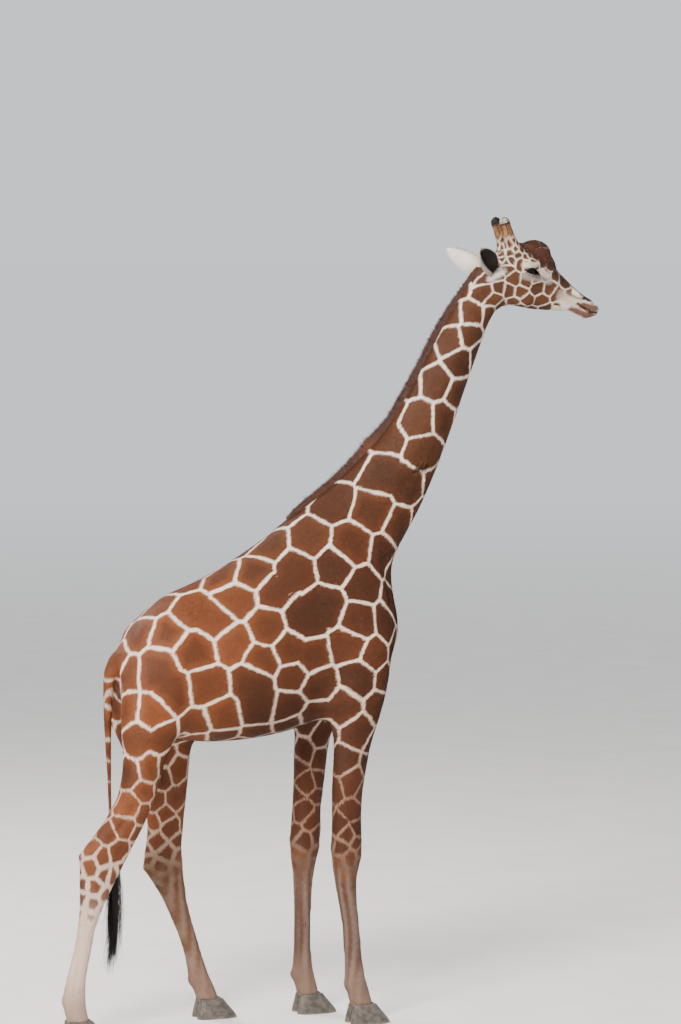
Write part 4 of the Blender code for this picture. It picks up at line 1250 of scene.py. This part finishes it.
side = np.column_stack((-np.sin(angle), np.cos(angle), np.zeros(count)))
shade = unit(np.column_stack((np.cos(angle), np.sin(angle), np.full(count, 0.2))))
tone = blend(all_over(TUFT_BLACK, top), TUFT_BROWN, rng.uniform(0, 0.45, count) ** 1.5)
tone = np.repeat(tone[:, None], joints, axis=1) * np.linspace(1.0, 1.35, joints)[None, :, None]
mx, my, mz = middle.T
tail_faces = np.nonzero((mx < tail_high.x) & (mz < tail_low.z + 0.12) & (mz > tail_low.z - 0.03)
                        & (np.abs(my) < 0.03))[0]
root_uv = face_uv[rng.choice(tail_faces, count), 0]
tuft = ribbons("tail_tuft_hair", path, side, rng.uniform(0.0022, 0.0036, count), shade, tone, root_uv,
               tuft_finish, 3.0)
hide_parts("tail_tuft")

# ---- Eyes ----------------------------------------------------------------------------------
# Large dark glass eyes: brown iris round a wide level pupil, under a clear wet surface. Each is a
# ball set in its socket, seen through the opening between the lids.
for side, name in ((-1, "eye_right"), (1, "eye_left")):
    ball = bmesh.new()
    bmesh.ops.create_uvsphere(ball, u_segments=48, v_segments=32, radius=BALL)
    bmesh.ops.translate(ball, verts=ball.verts, vec=EYE[side])
    eye = new_object(name + "_glass", ball)
    smooth_faces(eye.data)
    finish, tree, shader, coordinate = new_material(name + "_finish")
    _, fore, up = eye_axes(side)
    away = node(tree, "ShaderNodeVectorMath", ((0, coordinate),), operation="SUBTRACT")
    away.inputs[1].default_value = EYE[side]

    def part(direction, stretch):
        dot = node(tree, "ShaderNodeVectorMath", ((0, away.outputs[0]),), operation="DOT_PRODUCT")
        dot.inputs[1].default_value = direction
        return maths(tree, "MULTIPLY", dot.outputs["Value"], stretch)

    across = maths(tree, "POWER", part(fore, 1 / BALL), 2.0)
    tall = maths(tree, "POWER", part(up, 1 / BALL), 2.0)
    ring = maths(tree, "SQRT", maths(tree, "ADD", across, tall))
    slot_shape = maths(tree, "ADD", maths(tree, "MULTIPLY", across, 5.0),
                       maths(tree, "MULTIPLY", tall, 22.0))
    streaks = grain(tree, coordinate, 260.0, 3.0)
    iris = mixed(tree, streaks, (0.020, 0.010, 0.006), (0.060, 0.030, 0.016))
    iris = mixed(tree, spread(tree, slot_shape, 1.15, 0.85), iris, (0.004, 0.004, 0.007))
    tree.links.new(mixed(tree, spread(tree, ring, 0.80, 0.92), iris, (0.16, 0.12, 0.10)),
                   shader.inputs["Base Color"])
    tree.links.new(spread(tree, streaks, 0.2, 0.8, 0.10, 0.16), shader.inputs["Roughness"])
    shader.inputs["Coat Weight"].default_value = 1.0
    shader.inputs["Coat Roughness"].default_value = 0.03
    eye.data.materials.append(finish)
    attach(eye, "root")
    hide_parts(name)

# ---- Lashes --------------------------------------------------------------------------------
# Long dark lashes droop over each eye from the upper lid, with a short thin row below. They are
# rooted at the rim of the lids.
lash_finish = coat_material("lash_hair", 0.40)
for side, name in ((-1, "right"), (1, "left")):
    gaze, fore, up = (np.array(v) for v in eye_axes(side))
    for row, count, long in (("upper", 640, 0.040), ("lower", 200, 0.014)):
        turn = rng.uniform(0.04, 0.96, count) * np.pi
        a = OPEN_LONG * 1.12 * np.cos(turn)
        if row == "upper":
            b = OPEN_UP * np.sin(turn) * rng.uniform(1.0, 1.25, count)
        else:
            b = -OPEN_DOWN * np.sin(turn) * rng.uniform(1.0, 1.2, count)
        depth = np.sqrt(np.maximum((BALL + LID) ** 2 - a * a - b * b, 0))
        root = np.array(EYE[side]) + np.outer(a, fore) + np.outer(b, up) + np.outer(depth, gaze)
        down = -1.0 if row == "upper" else -0.9
        aim = unit(np.outer(np.ones(count), gaze * 0.55 + up * down * 0.50)
                   + np.outer(a / OPEN_LONG, fore) * 0.80 + rng.normal(0, 0.08, (count, 3)))
        fall = np.outer(np.ones(count), up) * (-0.010 if row == "upper" else -0.003)
        reach = (long * rng.uniform(0.55, 1.1, count))[:, None]
        steps = np.linspace(0, 1, 5)[None, :, None]
        path = root[:, None] + (aim * reach)[:, None] * steps + fall[:, None] * steps ** 2
        across = unit(np.cross(aim, np.cross(gaze, aim) + 1e-3))
        tone = np.tile(BLACK * 0.8, (count, 5, 1)) * rng.uniform(0.7, 1.2, count)[:, None, None]
        lid_uv = face_uv[np.argsort(np.linalg.norm(middle - np.array(EYE[side]), axis=1))[:200], 0]
        lashes = ribbons(f"lashes_{name}_{row}", path, across, np.full(count, 0.0011), unit(aim + gaze),
                         tone, lid_uv[rng.integers(0, 200, count)], lash_finish, 2.0)

# ---- Ears ----------------------------------------------------------------------------------
# Cupped leather leaves, pale outside with a white rim, dark and long-haired inside. Each is its
# solid rounded off, with a coat of fine hair that lies towards the tip.
ear_finish, tree, shader, coordinate = new_material("ear_skin")
stain = maths(tree, "MULTIPLY", mottle(tree, coordinate, 80.0), 0.25)
colour = mixed(tree, stain, painted_tone(tree, "tone"), (0.10, 0.06, 0.04))
tree.links.new(colour, shader.inputs["Base Color"])
shader.inputs["Roughness"].default_value = 0.7
emboss(tree, shader, grain(tree, coordinate, 380.0, 3.0), 0.3, 0.002)
EAR_ROOT = (1.0055, 0.088, 4.468)
EAR_TIP = (0.8505, 0.272, 4.592)
EAR_FACE = (0.10, 0.95, -0.10)
EAR_STEPS = (0, 0.12, 0.3, 0.5, 0.7, 0.87, 1.0)
EAR_HALVES = (0.036, 0.050, 0.061, 0.060, 0.048, 0.028, 0.008)
EAR_HAIRS = 16_000
EAR_WHITE = linear(226, 214, 202)
EAR_DARK = linear(30, 20, 15)
EAR_TAN = linear(170, 132, 104)
for side, name in ((-1, "ear_right"), (1, "ear_left")):
    root, tip, face_way = (np.array(v) * (1, side, 1) for v in (EAR_ROOT, EAR_TIP, EAR_FACE))
    axis = unit(tip - root)
    face_way = unit(face_way - axis * (face_way @ axis))
    breadth = np.cross(axis, face_way)
    ear = new_object(name + "_leaf", gathered([name], grow=0.0))

    def on_leaf(spot):
        """Share of the way from root to tip, and across the leaf from the middle (0) to the rim."""
        along = (spot - root) @ axis / np.linalg.norm(tip - root)
        return along, (spot - root) @ breadth / np.interp(along, EAR_STEPS, EAR_HALVES)

    def ear_tone(place, inward, along, over):
        """Colour, and how far inside the cup it is."""
        tone = blend(all_over(EAR_WHITE, place), EAR_TAN, 0.55 * ramp(along, 0.35, 0.0))
        rim = np.abs(over * side + 0.30)
        inner = ramp(inward, 0.15, 0.45) * ramp(rim, 0.88, 0.64) * ramp(along, 0.97, 0.80)
        return blend(tone, EAR_DARK, 0.95 * inner), inner

    smooth = ear.modifiers.new("round", "SUBSURF")
    smooth.levels = smooth.render_levels = 2
    settled(ear)
    spot = points_of(ear.data)
    spot = spot - np.outer(ramp(on_leaf(spot)[0], 0.22, 0.0), axis) * 0.022
    put_points(ear.data, spot)
    mesh = bmesh.new()
    mesh.from_mesh(ear.data)
    bmesh.ops.triangulate(mesh, faces=mesh.faces)
    mesh.to_mesh(ear.data)
    mesh.free()
    smooth_faces(ear.data)
    spot = points_of(ear.data)
    tone, _ = ear_tone(spot, normals_of(ear.data) @ face_way, *on_leaf(spot))
    attribute(ear.data, "tone", "FLOAT_COLOR", "POINT", with_alpha(tone))
    coated_with(ear, ear_finish)
    unwrap(ear, 0.01)
    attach(ear, "root")
    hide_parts(name)

    ear_index, ear_corner, ear_area, _ = triangle_parts(ear.data)
    ear_surface = (ear_corner, normals_of(ear.data)[ear_index], corner_uv(ear.data), ear_area)
    count = EAR_HAIRS
    place, normal, uv, _ = rooted(ear_surface, np.arange(len(ear_area)), count)
    along, over = on_leaf(place)
    tone, inner = ear_tone(place, normal @ face_way, along, over)
    rimmed = ramp(np.abs(over), 0.80, 0.95)
    flow = axis[None] + breadth[None] * over[:, None] * 0.5
    flow = flow + face_way[None] * (0.35 * inner + 0.2 * rimmed)[:, None]
    flow = unit(flow - normal * ((flow * normal).sum(axis=1) * (1 - 0.3 * inner))[:, None])
    side_way = unit(np.cross(normal, flow))
    flow = unit(flow + side_way * rng.normal(0, 0.25, count)[:, None])
    long = (0.009 + 0.010 * inner + 0.004 * rimmed) * rng.uniform(0.7, 1.2, count)
    rise = (0.002 + 0.004 * inner) * rng.uniform(0.5, 1.3, count)
    tone = tone * rng.uniform(0.8, 1.15, count)[:, None]
    path = np.stack((place - normal * 0.0005, place + flow * long[:, None] + normal * rise[:, None]), axis=1)
    hair = ribbons(name + "_hair", path, side_way, rng.uniform(0.0010, 0.0018, count), normal,
                   np.stack((tone * 0.9, tone * 1.05), axis=1), uv, coat_finish)

# ---- Bald top of the right ossicone --------------------------------------------------------
# The hair is rubbed away there: a grey knob of horn-hard skin, finely cracked, in a dark ring. It
# is the top of the ossicone's solid, cut off, rounded and drawn in a little.
horn_axis = (HORN_TOP - HORN_ROOT) * (1, -1, 1)
cap_from = HORN_ROOT * (1, -1, 1) + horn_axis * 0.88
cap_mesh = gathered(["ossicone_right"], grow=0.0)
everything = list(cap_mesh.verts) + list(cap_mesh.edges) + list(cap_mesh.faces)
bmesh.ops.bisect_plane(cap_mesh, geom=everything, plane_co=cap_from, plane_no=horn_axis, clear_inner=True)
bmesh.ops.holes_fill(cap_mesh, edges=[edge for edge in cap_mesh.edges if edge.is_boundary])
cap = new_object("ossicone_right_cap", cap_mesh)
smooth = cap.modifiers.new("round", "SUBSURF")
smooth.levels = smooth.render_levels = 3
settled(cap)
spot = points_of(cap.data) - cap_from
along = np.outer(spot @ unit(horn_axis), unit(horn_axis))
put_points(cap.data, cap_from + along * 0.96 + (spot - along) * 0.88)
smooth_faces(cap.data)
cap_finish, tree, shader, coordinate = new_material("bald_horn")
worn = mixed(tree, mottle(tree, coordinate, 55.0), (0.09, 0.07, 0.055), (0.34, 0.31, 0.27))
tree.links.new(worn, shader.inputs["Base Color"])
roughen(tree, shader, coordinate, 120.0, 0.42, 0.68)
emboss(tree, shader, grain(tree, coordinate, 160.0, 5.0, 0.7), 0.5, 0.0015)
coated_with(cap, cap_finish)
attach(cap, "root")

# ---- Hooves --------------------------------------------------------------------------------
# Cloven hooves of dark grey-brown horn with growth rings, worn pale at the rim, flat soles. Each
# claw is its solid with softened edges, set flat on the ground.
hoof_finish, tree, shader, coordinate = new_material("hoof_horn")
_, _, level = node(tree, "ShaderNodeSeparateXYZ", ((0, coordinate),)).outputs
uneven = maths(tree, "MULTIPLY_ADD", grain(tree, coordinate, 14.0), 0.03, level)
rings = maths(tree, "SINE", maths(tree, "MULTIPLY", uneven, 620.0))
horn_colour = mixed(tree, mottle(tree, coordinate, 30.0), (0.045, 0.036, 0.030), (0.105, 0.085, 0.068))
horn_colour = mixed(tree, spread(tree, uneven, 0.030, 0.008), horn_colour, (0.20, 0.165, 0.13))
tree.links.new(horn_colour, shader.inputs["Base Color"])
roughen(tree, shader, coordinate, 90.0, 0.38, 0.62)
emboss(tree, shader, maths(tree, "MULTIPLY_ADD", grain(tree, coordinate, 200.0), 0.8, rings), 0.30, 0.0012)
for leg in LEGS:
    for half in ("outer", "inner"):
        node_name = f"hoof_{leg}_{half}"
        hoof = new_object(node_name + "_horn", gathered([node_name], grow=0.0))
        bevel = hoof.modifiers.new("soften", "BEVEL")
        bevel.width = 0.006
        bevel.segments = 3
        bevel.limit_method = "ANGLE"
        bevel.angle_limit = 0.6
        smooth = hoof.modifiers.new("round", "SUBSURF")
        smooth.levels = smooth.render_levels = 2
        settled(hoof)
        spot = points_of(hoof.data)
        low = spot[:, 2].min()
        spot[:, 2] = np.where(spot[:, 2] < low + 0.004, 0.0, spot[:, 2])
        put_points(hoof.data, spot)
        smooth_faces(hoof.data)
        coated_with(hoof, hoof_finish)
        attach(hoof, "root")
        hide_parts(node_name)

# ---- Floor, light and camera ---------------------------------------------------------------
# A pale plain studio floor running out to a pale haze, a big soft key from above the left, a
# weak fill from the right and a rim light. The camera looks from far off, from a little towards
# the tail and about as high as the top of the head.
floor_mesh = bmesh.new()
bmesh.ops.create_grid(floor_mesh, x_segments=1, y_segments=1, size=900)
floor = new_object("floor", floor_mesh)
floor_finish, tree, shader, coordinate = new_material("studio_floor")
away = node(tree, "ShaderNodeVectorMath", ((0, coordinate),), operation="LENGTH").outputs["Value"]
near_tone = mixed(tree, mottle(tree, coordinate, 2.0), (0.70, 0.68, 0.65), (0.74, 0.72, 0.69))
tree.links.new(mixed(tree, spread(tree, away, 12.0, 60.0), near_tone, (0.97, 0.97, 0.97)),
               shader.inputs["Base Color"])
shader.inputs["Roughness"].default_value = 0.9
shader.inputs["Specular IOR Level"].default_value = 0.0
coated_with(floor, floor_finish)

world = bpy.data.worlds.new("studio")
scene.world = world
world.use_nodes = True
sky = world.node_tree.nodes["Background"]
sky.inputs["Color"].default_value = (0.90, 0.93, 0.97, 1)
sky.inputs["Strength"].default_value = 1.0


def softbox(name, place, target, size, power, colour):
    """A square soft light aimed at a place."""
    data = bpy.data.lights.new(name, "AREA")
    data.shape = "SQUARE"
    data.size = size
    data.energy = power
    data.color = colour
    lamp = bpy.data.objects.new(name, data)
    lamp.location = place
    lamp.rotation_euler = (Vector(target) - Vector(place)).to_track_quat("-Z", "Y").to_euler()
    scene.collection.objects.link(lamp)


softbox("key", (-7.0, -8.0, 10.0), (0, 0, 2.6), 4.0, 3300, (1.0, 0.96, 0.91))
softbox("fill", (8.0, -9.0, 3.5), (0, 0, 2.2), 6.0, 260, (0.94, 0.97, 1.0))
softbox("rim", (-5.0, 7.0, 9.0), (0, 0, 3.0), 3.0, 1300, (1.0, 0.97, 0.93))

EYE_POINT = Vector((-8.220, -23.776, 4.614))
AIM_POINT = Vector((0.0135, -0.165, 3.0385))
LENS = 148.97
FILM = 36
camera_data = bpy.data.cameras.new("camera")
camera_data.lens = LENS
camera_data.sensor_width = FILM
camera_data.clip_end = 2000
camera = bpy.data.objects.new("camera", camera_data)
camera.location = EYE_POINT
camera.rotation_euler = (AIM_POINT - EYE_POINT).to_track_quat("-Z", "Y").to_euler()
scene.collection.objects.link(camera)
scene.camera = camera
